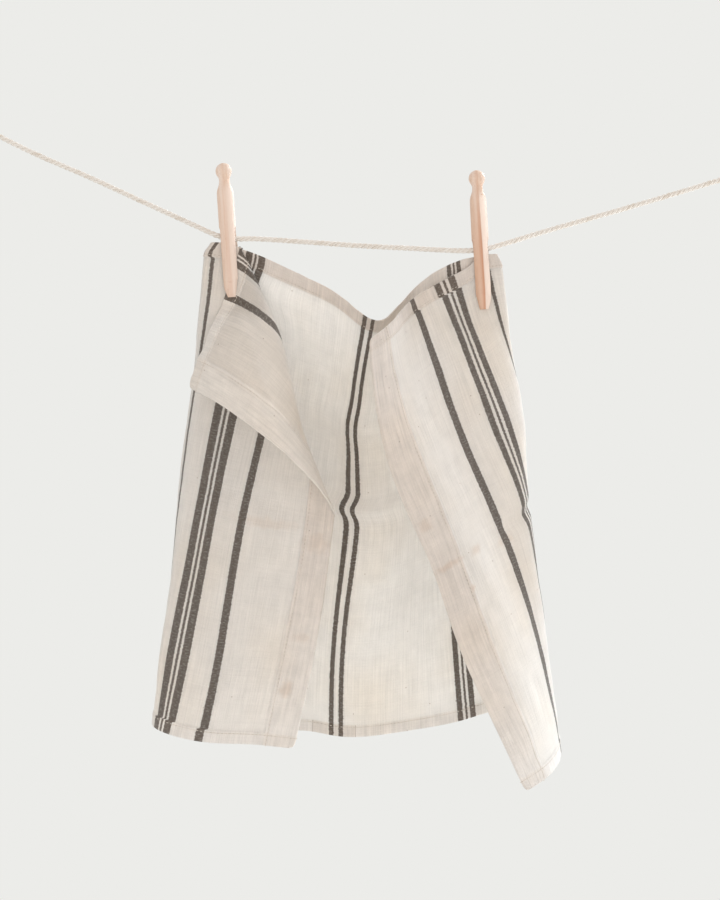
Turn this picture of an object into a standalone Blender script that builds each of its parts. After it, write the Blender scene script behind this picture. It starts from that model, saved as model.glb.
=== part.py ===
"""Striped tea towel pegged by its top hem to a twisted clothes line with two wooden dolly pegs.

All tables are in millimetres, measured from the point of the line midway between the pegs: X to the
right, Y away from the viewer, Z up.  The finished model is moved so that its origin is the centre of the
line's left eye.  The cloth is described in its own flat coordinates: `across` runs along the top hem from
the free edge of the left flap (0) to the free edge of the right flap, and `along` runs down the stripes
from the top hem (0) to the bottom hem.
"""
import math
from collections import namedtuple

import bmesh
import bpy
import numpy as np

MM = 0.001

# ---- Driving sizes (mm) ----
TOWEL_WIDTH = 600.0
TOWEL_LENGTH = 392.0
CLOTH_THICK = 1.2
HEM_THICK = 1.8
HEM_EASE = 4.0
SIDE_HEM = 24.4
END_HEM = 12.0

PEG_BALL = 6.7
PEG_BALL_FLAT = 0.4
PEG_NECK = 4.4
PEG_NECK_DOWN = 15.5
PEG_NECK_END = 19.0
PEG_NECK_SWELL = 0.7
PEG_SHOULDER_DOWN = 25.0
PEG_SHOULDER_ROUND = 2.5
PEG_SHOULDER_EASE = 0.4
PEG_BODY_SHARE = 0.6
PEG_TAPER = 9.0
PEG_FOOT_BEVEL = 1.1
SLOT_WIDTH = 6.8
SLOT_LENGTH = 58.0
SLOT_RUNOUT = 5.0

LINE_RADIUS = 2.3
LINE_VALLEY = 1.85
LINE_PITCH = 13.0
LINE_STRANDS = 3

EYE_RADIUS = 9.0
WHIPPING_RADIUS = 4.6
WHIPPING_LENGTH = 14.0
WHIPPING_BEVEL = 0.9
TOUCH_GAP = 0.3

# Where the left flap's top corner turns over: the fold runs from this far along the top hem
# to this far down the side edge.
TURN_ACROSS = 122.0
TURN_ALONG = 196.0

# ---- How the cloth hangs ----
# One row for each line down the cloth.  `reach` is its length once its small puckers are taken up,
# `top` the height of its end at the top hem, and the rest its place across at seven levels.
Hang = namedtuple("Hang", "across reach top hem shoulder chest crease waist skirt foot")
# The same lines' places in depth at the same levels.
Depth = namedtuple("Depth", "across hem shoulder chest crease waist skirt foot")
LEVELS = np.array((0.0, 0.16, 0.33, 0.5, 0.67, 0.84, 1.0)) * TOWEL_LENGTH

HANG = (
    Hang(0, 377, -38, 6, -1, -7, -15, -23, -34, -47),         # left flap: free edge
    Hang(40, 386, -28, -22, -29, -42, -50, -61, -74, -86),
    Hang(79, 396, -19, -47, -58, -71, -86, -98, -109, -122),  # left flap: single stripe
    Hang(111, 397, -10, -81, -90, -103, -116, -128, -141, -153),
    Hang(132, 396, -5, -101, -111, -123, -134, -145, -156, -162),
    Hang(144, 393, -3, -114, -121, -131, -140, -148, -155, -161),
    Hang(151, 389, -2.5, -121, -127, -134, -142, -148, -154, -158),  # left side: outer fold
    Hang(168, 394, -5, -106, -111, -118, -128, -134, -141, -145),
    Hang(194, 391, -12, -80, -83, -92, -103, -108, -116, -121),
    Hang(247, 381, -34, -33, -38, -45, -53, -58, -64, -68),
    Hang(280, 375, -50, -5, -12, -19, -25, -29, -34, -36),
    Hang(300, 372, -64, 13, 4, -1, -1, -8, -14, -15),         # back panel: centre stripes
    Hang(353, 374, -41, 47, 48, 48, 47, 44, 41, 41),
    Hang(406, 382, -19, 82, 87, 90, 91, 88, 90, 95),
    Hang(432, 380, -13.5, 107, 113, 118, 117, 115, 116, 121),
    Hang(445, 380, -12, 121, 127, 132, 128, 125, 129, 134),   # right side: outer fold
    Hang(457, 383, -14, 106, 121, 137, 136, 134, 138, 144),
    Hang(470, 385, -21, 96, 112, 134, 140, 141, 146, 151),
    Hang(489, 387, -33, 76, 96, 118, 138, 148, 156, 160),
    Hang(521, 385, -50, 48, 67, 88, 113, 136, 152, 163),      # right flap: single stripe
    Hang(576, 369, -76, 26, 36, 56, 79, 100, 123, 144),
    Hang(600, 366, -87, 12, 18, 34, 59, 79, 104, 128),        # right flap: free edge
)

DEPTH = (
    Depth(0, -20, -26, -30, -36, -38, -38, -38),
    Depth(40, -14, -20, -24, -30, -32, -33, -33),
    Depth(79, -4, -10, -18, -24, -26, -28, -28),
    Depth(111, 0, -5, -12, -18, -22, -25, -26),
    Depth(132, 0, -3, -9, -13, -15, -15, -13),
    Depth(144, 0, -1, -4, -5, -5, -4, -1),
    Depth(151, 1, 1, 1, 2, 3, 4, 6),
    Depth(168, 2, 6, 11, 16, 18, 20, 20),
    Depth(194, 2, 10, 18, 22, 23, 24, 24),
    Depth(247, 3, 24, 34, 26, 22, 24, 24),
    Depth(280, 5, 34, 48, 25, 20, 24, 24),
    Depth(300, 8, 40, 56, 26, 20, 25, 25),
    Depth(353, 31, 43, 47, 27, 24, 28, 28),
    Depth(406, 5, 16, 24, 25, 28, 30, 28),
    Depth(432, 2, 10, 15, 16, 22, 27, 28),
    Depth(445, 0, 3, 4, 5, 13, 20, 23),
    Depth(457, -1, -1, -4, -5, 4, 12, 16),
    Depth(470, -1, -7, -14, -17, -10, 0, 6),
    Depth(489, -3, -14, -26, -32, -29, -20, -12),
    Depth(521, -10, -25, -38, -46, -48, -46, -43),
    Depth(576, -50, -62, -74, -82, -85, -92, -101),
    Depth(600, -64, -74, -80, -84, -90, -100, -115),
)

# The turned corner: where its top hem comes to lie, from the corner's tip up to the peg.  `spring` is
# how far each line runs on upwards from the fold before it turns over, as a share of its length.
CornerHem = namedtuple("CornerHem", "across x depth z spring")
CORNER_HEM = (
    CornerHem(0, -131, -38, -124, 0.11),
    CornerHem(24, -124, -38, -101, 0.14),
    CornerHem(50, -115.5, -24, -76, 0.18),
    CornerHem(79, -105, -8, -46, 0.24),
    CornerHem(100, -98, -2.2, -25, 0.24),
    CornerHem(122, -93, -2.2, -6, 0.24),
)
# The corner's arch from its fold to its hem.  Near the fold it leans out by a share of its size.  Its
# later part starts a share of the way back to the fold, rises by a share of the size, and keeps a share
# of the arch's height.  Puckers take up the rest of its length.
ARCH_LEAN_OUT = 0.10
ARCH_REACH_BACK = 0.32
ARCH_RISE = 0.10
ARCH_FALL = 0.9
ARCH_PUCKER = 0.97

# Folds and creases in the cloth, each a soft ridge along a straight line in the flat cloth.
# `lift` pushes it away from the viewer and `slide` moves it to the right.
Crease = namedtuple("Crease", "across_a along_a across_b along_b half_width lift slide")
CREASES = (
    Crease(-20, 196, 620, 196, 9, 1.6, 0),      # pressed fold across the middle
    Crease(268, 190, 335, 190, 9, -4, -5),      # its sharp kink at the centre stripes
    Crease(262, 108, 345, 112, 16, 3, -2),      # soft kink above it
    Crease(480, 203, 510, 206, 5.5, 1, -2.5),     # notch where that fold meets the right side
    Crease(142, 0, 160, 0, 6, 0, 5),            # top of each side, drawn in towards its peg
    Crease(438, 0, 450, 0, 6, 0, -3),
    Crease(196, 27, 214, 27, 15, 0, -7),        # back panel drawn to the left below the left peg
    Crease(38, 330, 74, 352, 9, 2.5, 0),        # short slanting fold low on the left flap
    Crease(556, 215, 548, 262, 9, -2, 0),       # two short folds beside the right flap's side hem
    Crease(556, 300, 540, 352, 10, 2, 0),
)
CREASE_END_FADE = 1.6

# Each peg's clamp: where the peg's axis crosses the height 0, its lean, the height of its foot, and the
# place across the cloth of the outer fold beside it.
Clamp = namedtuple("Clamp", "x lean foot fold")
LEFT_CLAMP = Clamp(-102.8, 0.068, -48, 150)
RIGHT_CLAMP = Clamp(103.7, 0.055, -58, 449)
CLAMP_HALF_WIDTH = 8.0
CLAMP_BELOW_FOOT = 3.0
CLAMP_FADE = 26.0
FOLD_EASE = 14.0
LAYER_STEP = 2.2

# Pegs, measured down from the top of the ball.
PegSpec = namedtuple("PegSpec", "name clamp length shoulder body foot colour")
PEGS = (
    PegSpec("peg_left", LEFT_CLAMP, 110.5, 6.9, 6.9, 5.3, (0.80, 0.60, 0.44)),
    PegSpec("peg_right", RIGHT_CLAMP, 114.5, 6.8, 7.1, 5.4, (0.78, 0.54, 0.38)),
)

# The line's own route across and up, from its left end past both pegs to its right end.
LineStop = namedtuple("LineStop", "x z")
LINE_ROUTE = (
    LineStop(-302, 90.0),
    LineStop(-256, 67.5),
    LineStop(-221, 52.5),
    LineStop(-187, 37.0),
    LineStop(-152, 21.0),
    LineStop(-122, 7.2),
    LineStop(-105, 0.8),
    LineStop(-86, 0.2),
    LineStop(-60, -1.0),
    LineStop(-26, -3.3),
    LineStop(5, -5.5),
    LineStop(35, -7.0),
    LineStop(69, -8.8),
    LineStop(90, -9.6),
    LineStop(104, -8.8),
    LineStop(122, -4.4),
    LineStop(150, 4.2),
    LineStop(190, 15.8),
    LineStop(240, 30.2),
    LineStop(276, 41.0),
    LineStop(312, 52.0),
)

TOWEL_COLOUR = (0.84, 0.80, 0.74)
LINE_COLOUR = (0.72, 0.68, 0.62)
COTTON_ROUGHNESS = 0.9
WOOD_ROUGHNESS = 0.55

# ---- How finely the solids are divided ----
# The towel's grid is finer where the corner turns.
TURN_CELLS = 20
PLAIN_COLUMNS = 34
PLAIN_ROWS = 14
PEG_SIDES = 20
PEG_BALL_RINGS = 7
SLOT_ARC_STEPS = 6
LINE_RINGS_PER_TURN = 9
WHIPPING_SIDES = 12
EYE_STEPS = 20
EYE_SIDES = 8
SHARP_ANGLE = math.radians(50)
FINE_ALONG = np.linspace(0, TOWEL_LENGTH, 197)
FINE_SHARE = np.linspace(0, 1, 41)[:, None]
FINE_LINE_POINTS = 2000
ARCH_HALVINGS = 24
ON_THE_FOLD = 0.01
LEAST_FALL = 0.05


def smooth_through(stations, values, where):
    """Natural cubic curve through `values` (first axis) at `stations`, read at `where`."""
    stations = np.asarray(stations, float)
    values = np.asarray(values, float)
    count = len(stations)
    step = np.diff(stations)
    system = np.eye(count)
    bend = np.zeros_like(values)
    for i in range(1, count - 1):
        system[i, i - 1] = step[i - 1]
        system[i, i] = 2 * (step[i - 1] + step[i])
        system[i, i + 1] = step[i]
        rise_after = (values[i + 1] - values[i]) / step[i]
        rise_before = (values[i] - values[i - 1]) / step[i - 1]
        bend[i] = 6 * (rise_after - rise_before)
    bend = np.linalg.solve(system, bend.reshape(count, -1)).reshape(values.shape)
    where = np.asarray(where, float)
    cell = np.clip(np.searchsorted(stations, where, side="right") - 1, 0, count - 2)
    shape = (-1,) + (1,) * (values.ndim - 1)
    width = step[cell].reshape(shape)
    after = ((where - stations[cell]) / step[cell]).reshape(shape)
    before = 1 - after
    curve = (before ** 3 - before) * bend[cell] + (after ** 3 - after) * bend[cell + 1]
    return before * values[cell] + after * values[cell + 1] + curve * width ** 2 / 6


def soft_step(value):
    """0 below 0, 1 above 1, and smooth between."""
    value = np.clip(value, 0, 1)
    return value * value * (3 - 2 * value)


# ---- The hanging sheet ----
def hanging_lines():
    """Every table line as points in space, its height worked out from its length."""
    lines = []
    for place, depth in zip(HANG, DEPTH):
        x = smooth_through(LEVELS, place[3:], FINE_ALONG)
        y = smooth_through(LEVELS, depth[1:], FINE_ALONG)
        lean = np.gradient(x, FINE_ALONG) ** 2 + np.gradient(y, FINE_ALONG) ** 2
        fall = np.sqrt(np.clip((place.reach / TOWEL_LENGTH) ** 2 - lean, LEAST_FALL, None))
        drop = np.concatenate(([0], np.cumsum((fall[1:] + fall[:-1]) / 2 * np.diff(FINE_ALONG))))
        lines.append(np.stack((x, y, place.top - drop), axis=1))
    return np.array(lines)


HANGING = hanging_lines()
HANG_PLACES = [place.across for place in HANG]


def hold_in_peg(points, clamp, layer):
    """Bring points between a peg's prongs to their layer's depth, fading out around the peg."""
    middle = clamp.x - clamp.lean * points[..., 2]
    aside = np.clip(np.abs(points[..., 0] - middle) - CLAMP_HALF_WIDTH, 0, None)
    below = np.clip(clamp.foot - CLAMP_BELOW_FOOT - points[..., 2], 0, None)
    hold = 1 - soft_step(np.hypot(aside, below) / CLAMP_FADE)
    points[..., 1] += (layer - points[..., 1]) * hold


def press_creases(points, across, along):
    """Add the creases to points that lie at the flat coordinates `across` and `along`."""
    for crease in CREASES:
        run = np.array((crease.across_b - crease.across_a, crease.along_b - crease.along_a))
        length = np.hypot(*run)
        run = run / length
        ahead = (across - crease.across_a) * run[0] + (along - crease.along_a) * run[1]
        beside = (along - crease.along_a) * run[0] - (across - crease.across_a) * run[1]
        past_end = (np.clip(-ahead, 0, None) + np.clip(ahead - length, 0, None)) / CREASE_END_FADE
        strength = np.exp(-(beside ** 2 + past_end ** 2) / crease.half_width ** 2)
        points[..., 0] += crease.slide * strength
        points[..., 1] += crease.lift * strength


def sheet(across, along):
    """Middle of the hanging cloth for lists of flat coordinates, as an array [across, along, xyz]."""
    across = np.asarray(across, float)
    along = np.asarray(along, float)
    rows = smooth_through(HANG_PLACES, HANGING, across)
    points = np.swapaxes(smooth_through(FINE_ALONG, np.swapaxes(rows, 0, 1), along), 0, 1)
    places = across[:, None] * np.ones(len(along))
    press_creases(points, places, along[None, :])
    behind = soft_step((places - LEFT_CLAMP.fold) / FOLD_EASE + 0.5)
    hold_in_peg(points, LEFT_CLAMP, LAYER_STEP * behind)
    in_front = soft_step((places - RIGHT_CLAMP.fold) / FOLD_EASE + 0.5)
    hold_in_peg(points, RIGHT_CLAMP, LAYER_STEP * (0.5 - in_front))
    return points


def turn_along(across):
    """How far down the cloth the corner's fold lies on the line at `across`."""
    return TURN_ALONG * max(0.0, 1 - across / TURN_ACROSS)


CORNER_PLACES = [row.across for row in CORNER_HEM]
CORNER_POINTS = np.array([row[1:] for row in CORNER_HEM])
FORWARD = np.array((0.0, -1.0, 0.0))
UPWARD = np.array((0.0, 0.0, 1.0))


def corner_arch(fold, hem, size, spring, height):
    """Curve over which one line of the turned corner goes from its fold to the top hem."""
    first = fold + size * spring + (ARCH_LEAN_OUT * size + height) * FORWARD
    second = hem + ARCH_REACH_BACK * (fold - hem) + ARCH_RISE * size * UPWARD + ARCH_FALL * height * FORWARD
    back = 1 - FINE_SHARE
    start = back ** 3 * fold + 3 * back ** 2 * FINE_SHARE * first
    return start + 3 * back * FINE_SHARE ** 2 * second + FINE_SHARE ** 3 * hem


def length_of(curve):
    return np.linalg.norm(np.diff(curve, axis=0), axis=1).sum()


def turned_corner(across, along):
    """Middle of the turned corner on the line at `across`, for places above its fold."""
    size = turn_along(across)
    fold, below = sheet([across], [size, size + HEM_EASE])[0]
    hem = smooth_through(CORNER_PLACES, CORNER_POINTS, [across])[0]
    spring = hem[3] * (fold - below) / np.linalg.norm(fold - below)
    hem = hem[:3]
    low, high = 0.0, size
    for _ in range(ARCH_HALVINGS):
        height = (low + high) / 2
        if length_of(corner_arch(fold, hem, size, spring, height)) < ARCH_PUCKER * size:
            low = height
        else:
            high = height
    curve = corner_arch(fold, hem, size, spring, low)
    steps = np.linalg.norm(np.diff(curve, axis=0), axis=1)
    run = np.concatenate(([0], np.cumsum(steps))) / steps.sum()
    wanted = (size - np.asarray(along, float)) / size
    points = np.stack([np.interp(wanted, run, curve[:, axis]) for axis in range(3)], axis=1)
    hold_in_peg(points, LEFT_CLAMP, -LAYER_STEP)
    return points


# ---- Objects ----
def line_route():
    """Route of the line as evenly spaced points in space, and its direction at each."""
    stops = np.array([(stop.x, 0.0, stop.z) for stop in LINE_ROUTE])
    reach = np.concatenate(([0], np.cumsum(np.linalg.norm(np.diff(stops, axis=0), axis=1))))
    path = smooth_through(reach, stops, np.linspace(0, reach[-1], FINE_LINE_POINTS))
    run = np.concatenate(([0], np.cumsum(np.linalg.norm(np.diff(path, axis=0), axis=1))))
    rings = int(round(run[-1] / LINE_PITCH * LINE_RINGS_PER_TURN))
    wanted = np.linspace(0, run[-1], rings + 1)
    route = np.stack([np.interp(wanted, run, path[:, axis]) for axis in range(3)], axis=1)
    heading = np.gradient(route, axis=0)
    heading /= np.linalg.norm(heading, axis=1)[:, None]
    return route, heading


# The distance from the end of the line to its eye's centre, with the whipping between them.
EYE_REACH = 2 * TOUCH_GAP + WHIPPING_LENGTH + EYE_RADIUS + LINE_RADIUS
ROUTE, HEADING = line_route()
ORIGIN = ROUTE[0] - EYE_REACH * HEADING[0]
DEPTHWISE = np.array((0.0, 1.0, 0.0))


def material(name, colour, roughness):
    """Plain surface of one colour."""
    made = bpy.data.materials.new(name)
    made.use_nodes = True
    shader = made.node_tree.nodes["Principled BSDF"]
    shader.inputs["Base Color"].default_value = (*colour, 1)
    shader.inputs["Roughness"].default_value = roughness
    shader.inputs["Metallic"].default_value = 0.0
    return made


def outward_mesh(name, points, faces):
    """Closed mesh from points in millimetres, moved so that the line's left eye is the origin."""
    mesh = bpy.data.meshes.new(name)
    mesh.from_pydata([tuple(point) for point in (np.asarray(points) - ORIGIN) * MM], [], faces)
    shape = bmesh.new()
    shape.from_mesh(mesh)
    bmesh.ops.recalc_face_normals(shape, faces=shape.faces)
    shape.to_mesh(mesh)
    shape.free()
    return mesh


def add_object(name, points, faces, look):
    mesh = outward_mesh(name, points, faces)
    mesh.materials.append(look)
    mesh.shade_smooth()
    mesh.set_sharp_from_angle(angle=SHARP_ANGLE)
    made = bpy.data.objects.new(name, mesh)
    bpy.context.scene.collection.objects.link(made)
    return made


def wall_faces(rings, sides, joined=False):
    """Quads between neighbouring rings of points; `joined` brings the last ring back to the first."""
    count = rings * sides
    faces = []
    for ring in range(rings if joined else rings - 1):
        for k in range(sides):
            here = ring * sides + k
            beside = ring * sides + (k + 1) % sides
            faces.append((here, beside, (beside + sides) % count, (here + sides) % count))
    return faces


def tube_faces(rings, sides):
    """Walls and both flat ends of a closed tube of rings."""
    last = (rings - 1) * sides
    return wall_faces(rings, sides) + [tuple(range(sides)), tuple(range(last, last + sides))]


def circle(centre, radius, sideways, outwards, sides):
    """Points round a circle in the plane of two directions."""
    turns = [2 * math.pi * k / sides for k in range(sides)]
    return [centre + radius * (math.cos(t) * sideways + math.sin(t) * outwards) for t in turns]


# ---- Towel ----
COLUMNS = np.concatenate((
    np.linspace(0, TURN_ACROSS, TURN_CELLS + 1),
    np.linspace(TURN_ACROSS, TOWEL_WIDTH, PLAIN_COLUMNS + 1)[1:],
))
ROWS = np.concatenate((
    np.linspace(0, TURN_ALONG, TURN_CELLS + 1),
    np.linspace(TURN_ALONG, TOWEL_LENGTH, PLAIN_ROWS + 1)[1:],
))


def towel_middle():
    """Middle surface of the towel on the whole grid, with its corner turned over."""
    points = sheet(COLUMNS, ROWS)
    for i, across in enumerate(COLUMNS[:TURN_CELLS]):
        above = ROWS < turn_along(across) - ON_THE_FOLD
        points[i, above] = turned_corner(across, ROWS[above])
    return points


def cloth_thickness(across, along):
    """Thicker where the hems are turned, with a soft step at the stitching."""
    from_side = np.minimum(across, TOWEL_WIDTH - across)
    from_end = np.minimum(along, TOWEL_LENGTH - along)
    past_stitching = np.minimum(from_side - SIDE_HEM, from_end - END_HEM)
    return HEM_THICK + (CLOTH_THICK - HEM_THICK) * soft_step(past_stitching / HEM_EASE)


def add_towel():
    middle = towel_middle()
    normal = np.cross(np.gradient(middle, axis=0), np.gradient(middle, axis=1))
    normal /= np.linalg.norm(normal, axis=2)[..., None]
    half = cloth_thickness(COLUMNS[:, None], ROWS[None, :])[..., None] / 2
    columns, rows = middle.shape[:2]
    points = np.concatenate((middle + normal * half, middle - normal * half)).reshape(-1, 3)
    other = columns * rows

    faces = []
    for i in range(columns - 1):
        for j in range(rows - 1):
            a = i * rows + j
            b, c, d = a + rows, a + rows + 1, a + 1
            # Both triangles share the edge that runs the way of the corner's fold.
            faces += [(a, b, d), (b, c, d)]
            faces += [(a + other, d + other, b + other), (b + other, d + other, c + other)]
    rim = [(i * rows, (i + 1) * rows) for i in range(columns - 1)]
    rim += [(start + rows - 1, end + rows - 1) for start, end in rim]
    rim += [(j, j + 1) for j in range(rows - 1)]
    rim += [(j + (columns - 1) * rows, j + 1 + (columns - 1) * rows) for j in range(rows - 1)]
    faces += [(start, end, end + other, start + other) for start, end in rim]
    add_object("towel", points, faces, material("towel_cotton", TOWEL_COLOUR, COTTON_ROUGHNESS))


# ---- Pegs ----
def peg_outline(peg):
    """How far down and how wide each ring of the turned peg is, from the ball's top to its foot."""
    outline = []
    for k in range(PEG_BALL_RINGS):
        turn = math.pi * (k + PEG_BALL_FLAT) / (PEG_BALL_RINGS + 1)
        outline.append((PEG_BALL * (1 - math.cos(turn)), PEG_BALL * math.sin(turn)))
    outline += [
        (PEG_NECK_DOWN, PEG_NECK),
        (PEG_NECK_END, PEG_NECK + PEG_NECK_SWELL),
        (PEG_SHOULDER_DOWN - PEG_SHOULDER_ROUND, peg.shoulder - PEG_SHOULDER_EASE),
        (PEG_SHOULDER_DOWN, peg.shoulder),
        (PEG_BODY_SHARE * peg.length, peg.body),
        (peg.length - PEG_TAPER, peg.body),
        (peg.length - PEG_TAPER / 2, (peg.body + peg.foot) / 2),
        (peg.length - PEG_FOOT_BEVEL, peg.foot),
        (peg.length, peg.foot - PEG_FOOT_BEVEL),
    ]
    return outline


def add_peg(peg):
    lean = math.atan(peg.clamp.lean)
    down = np.array((math.sin(lean), 0.0, -math.cos(lean)))
    sideways = np.array((math.cos(lean), 0.0, math.sin(lean)))
    top_height = peg.clamp.foot + peg.length * math.cos(lean)
    top = np.array((peg.clamp.x - peg.clamp.lean * top_height, 0.0, top_height))
    points = []
    outline = peg_outline(peg)
    for distance, radius in outline:
        points += circle(top + distance * down, radius, sideways, DEPTHWISE, PEG_SIDES)
    look = material(peg.name + "_wood", peg.colour, WOOD_ROUGHNESS)
    body = add_object(peg.name, points, tube_faces(len(outline), PEG_SIDES), look)

    # The slot is cut from side to side, with a round top.
    half = SLOT_WIDTH / 2
    foot = top + (peg.length + SLOT_RUNOUT) * down
    arc_centre = top + (peg.length - SLOT_LENGTH + half) * down
    profile = [foot + half * DEPTHWISE]
    for k in range(SLOT_ARC_STEPS + 1):
        turn = math.pi * k / SLOT_ARC_STEPS
        profile.append(arc_centre + half * (math.cos(turn) * DEPTHWISE - math.sin(turn) * down))
    profile.append(foot - half * DEPTHWISE)
    points = [point + side * 2 * peg.body * sideways for side in (-1, 1) for point in profile]
    slot_mesh = outward_mesh(peg.name + "_slot", points, tube_faces(2, len(profile)))
    slot = bpy.data.objects.new(peg.name + "_slot", slot_mesh)
    bpy.context.scene.collection.objects.link(slot)
    slot.hide_render = True
    slot.display_type = "WIRE"
    cut = body.modifiers.new("slot", "BOOLEAN")
    cut.operation = "DIFFERENCE"
    cut.solver = "EXACT"
    cut.object = slot


# ---- Clothes line ----
def add_line():
    """Three strands laid together: a lobed section that turns as it goes along the route."""
    corners = 2 * LINE_STRANDS
    points = []
    for ring, (place, ahead) in enumerate(zip(ROUTE, HEADING)):
        across = np.cross(DEPTHWISE, ahead)
        for k in range(corners):
            turn = 2 * math.pi * (k / corners - ring / LINE_RINGS_PER_TURN)
            radius = LINE_RADIUS if k % 2 == 0 else LINE_VALLEY
            points.append(place + radius * (math.cos(turn) * across + math.sin(turn) * DEPTHWISE))
    look = material("line_cord", LINE_COLOUR, COTTON_ROUGHNESS)
    add_object("clothes_line", points, tube_faces(len(ROUTE), corners), look)


def add_line_end(side, end, outward):
    """Eye and whipping at one end of the line, laid out along `outward`."""
    look = material("line_end_" + side, LINE_COLOUR, COTTON_ROUGHNESS)
    aside = np.cross(DEPTHWISE, outward)

    profile = (
        (0.0, WHIPPING_RADIUS - WHIPPING_BEVEL),
        (WHIPPING_BEVEL, WHIPPING_RADIUS),
        (WHIPPING_LENGTH - WHIPPING_BEVEL, WHIPPING_RADIUS),
        (WHIPPING_LENGTH, WHIPPING_RADIUS - WHIPPING_BEVEL),
    )
    points = []
    for distance, radius in profile:
        centre = end + (TOUCH_GAP + distance) * outward
        points += circle(centre, radius, aside, DEPTHWISE, WHIPPING_SIDES)
    add_object("line_whipping_" + side, points, tube_faces(len(profile), WHIPPING_SIDES), look)

    points = []
    for spoke in circle(np.zeros(3), 1, outward, aside, EYE_STEPS):
        centre = end + EYE_REACH * outward + EYE_RADIUS * spoke
        points += circle(centre, LINE_RADIUS, spoke, DEPTHWISE, EYE_SIDES)
    add_object("line_eye_" + side, points, wall_faces(EYE_STEPS, EYE_SIDES, joined=True), look)


for old in list(bpy.data.objects):
    bpy.data.objects.remove(old)

add_towel()
for spec in PEGS:
    add_peg(spec)
add_line()
add_line_end("left", ROUTE[0], -HEADING[0])
add_line_end("right", ROUTE[-1], HEADING[-1])
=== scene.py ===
"""Striped tea towel pegged on a clothes line: cloth, stitching, dolly pegs, twisted line and studio.

Tables are in millimetres, measured from the point of the line midway between the pegs: X to the right, Y
away from the viewer, Z up.  The cloth has flat coordinates of its own: `across` runs along the top hem from
the free edge of the left flap (0) to the free edge of the right flap, and `along` runs down the stripes
from the top hem (0) to the bottom hem.
"""

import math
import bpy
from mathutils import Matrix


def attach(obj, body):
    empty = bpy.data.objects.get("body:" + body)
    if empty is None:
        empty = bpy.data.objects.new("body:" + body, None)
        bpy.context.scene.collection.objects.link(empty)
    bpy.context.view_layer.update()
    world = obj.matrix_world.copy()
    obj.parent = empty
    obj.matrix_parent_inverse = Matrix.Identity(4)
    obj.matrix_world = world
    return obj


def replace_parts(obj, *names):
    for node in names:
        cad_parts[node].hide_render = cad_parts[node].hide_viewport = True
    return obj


bl_info = {
    "name": "Tea towel on a clothes line",
    "version": (1, 0, 0),
    "blender": (4, 5, 0),
    "location": "View3D > Sidebar > Tea Towel",
    "description": "Builds a striped tea towel hanging from a twisted clothes line by two dolly pegs",
    "category": "Add Mesh",
}

from collections import namedtuple

import bmesh
import bpy
import numpy as np
from mathutils import Vector, noise

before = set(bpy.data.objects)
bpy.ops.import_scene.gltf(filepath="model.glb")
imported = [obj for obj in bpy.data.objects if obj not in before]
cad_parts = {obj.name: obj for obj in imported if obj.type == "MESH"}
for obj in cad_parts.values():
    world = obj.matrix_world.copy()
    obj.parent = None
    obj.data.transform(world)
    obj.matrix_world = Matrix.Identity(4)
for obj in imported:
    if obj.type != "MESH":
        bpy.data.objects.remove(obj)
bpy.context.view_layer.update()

MM = 0.001

# ---- Driving sizes (mm) ----
TOWEL_WIDTH = 600.0
TOWEL_LENGTH = 392.0
HEM_EASE = 4.0

PEG_BALL = 6.7
SLOT_WIDTH = 6.8
SLOT_LENGTH = 58.0
SLOT_RUNOUT = 5.0

LINE_RADIUS = 2.3
LINE_PITCH = 13.0

EYE_RADIUS = 9.0
WHIPPING_LENGTH = 14.0
TOUCH_GAP = 0.3

# Where the left flap's top corner turns over: the fold runs from this far along the top hem
# to this far down the side edge.
TURN_ACROSS = 122.0
TURN_ALONG = 196.0

# ---- How the cloth hangs ----
# One row for each line down the cloth.  `reach` is its length once its small puckers are taken up,
# `top` the height of its end at the top hem, and the rest its place across at seven levels.
Hang = namedtuple("Hang", "across reach top hem shoulder chest crease waist skirt foot")
# The same lines' places in depth at the same levels.
Depth = namedtuple("Depth", "across hem shoulder chest crease waist skirt foot")
LEVELS = np.array((0.0, 0.16, 0.33, 0.5, 0.67, 0.84, 1.0)) * TOWEL_LENGTH

HANG = (
    Hang(0, 377, -38, 6, -1, -7, -15, -23, -34, -47),         # left flap: free edge
    Hang(40, 386, -28, -22, -29, -42, -50, -61, -74, -86),
    Hang(79, 396, -19, -47, -58, -71, -86, -98, -109, -122),  # left flap: single stripe
    Hang(111, 397, -10, -81, -90, -103, -116, -128, -141, -153),
    Hang(132, 396, -5, -101, -111, -123, -134, -145, -156, -162),
    Hang(144, 393, -3, -114, -121, -131, -140, -148, -155, -161),
    Hang(151, 389, -2.5, -121, -127, -134, -142, -148, -154, -158),  # left side: outer fold
    Hang(168, 394, -5, -106, -111, -118, -128, -134, -141, -145),
    Hang(194, 391, -12, -80, -83, -92, -103, -108, -116, -121),
    Hang(247, 381, -34, -33, -38, -45, -53, -58, -64, -68),
    Hang(280, 375, -50, -5, -12, -19, -25, -29, -34, -36),
    Hang(300, 372, -64, 13, 4, -1, -1, -8, -14, -15),         # back panel: centre stripes
    Hang(353, 374, -41, 47, 48, 48, 47, 44, 41, 41),
    Hang(406, 382, -19, 82, 87, 90, 91, 88, 90, 95),
    Hang(432, 380, -13.5, 107, 113, 118, 117, 115, 116, 121),
    Hang(445, 380, -12, 121, 127, 132, 128, 125, 129, 134),   # right side: outer fold
    Hang(457, 383, -14, 106, 121, 137, 136, 134, 138, 144),
    Hang(470, 385, -21, 96, 112, 134, 140, 141, 146, 151),
    Hang(489, 387, -33, 76, 96, 118, 138, 148, 156, 160),
    Hang(521, 385, -50, 48, 67, 88, 113, 136, 152, 163),      # right flap: single stripe
    Hang(576, 369, -76, 26, 36, 56, 79, 100, 123, 144),
    Hang(600, 366, -87, 12, 18, 34, 59, 79, 104, 128),        # right flap: free edge
)

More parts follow.
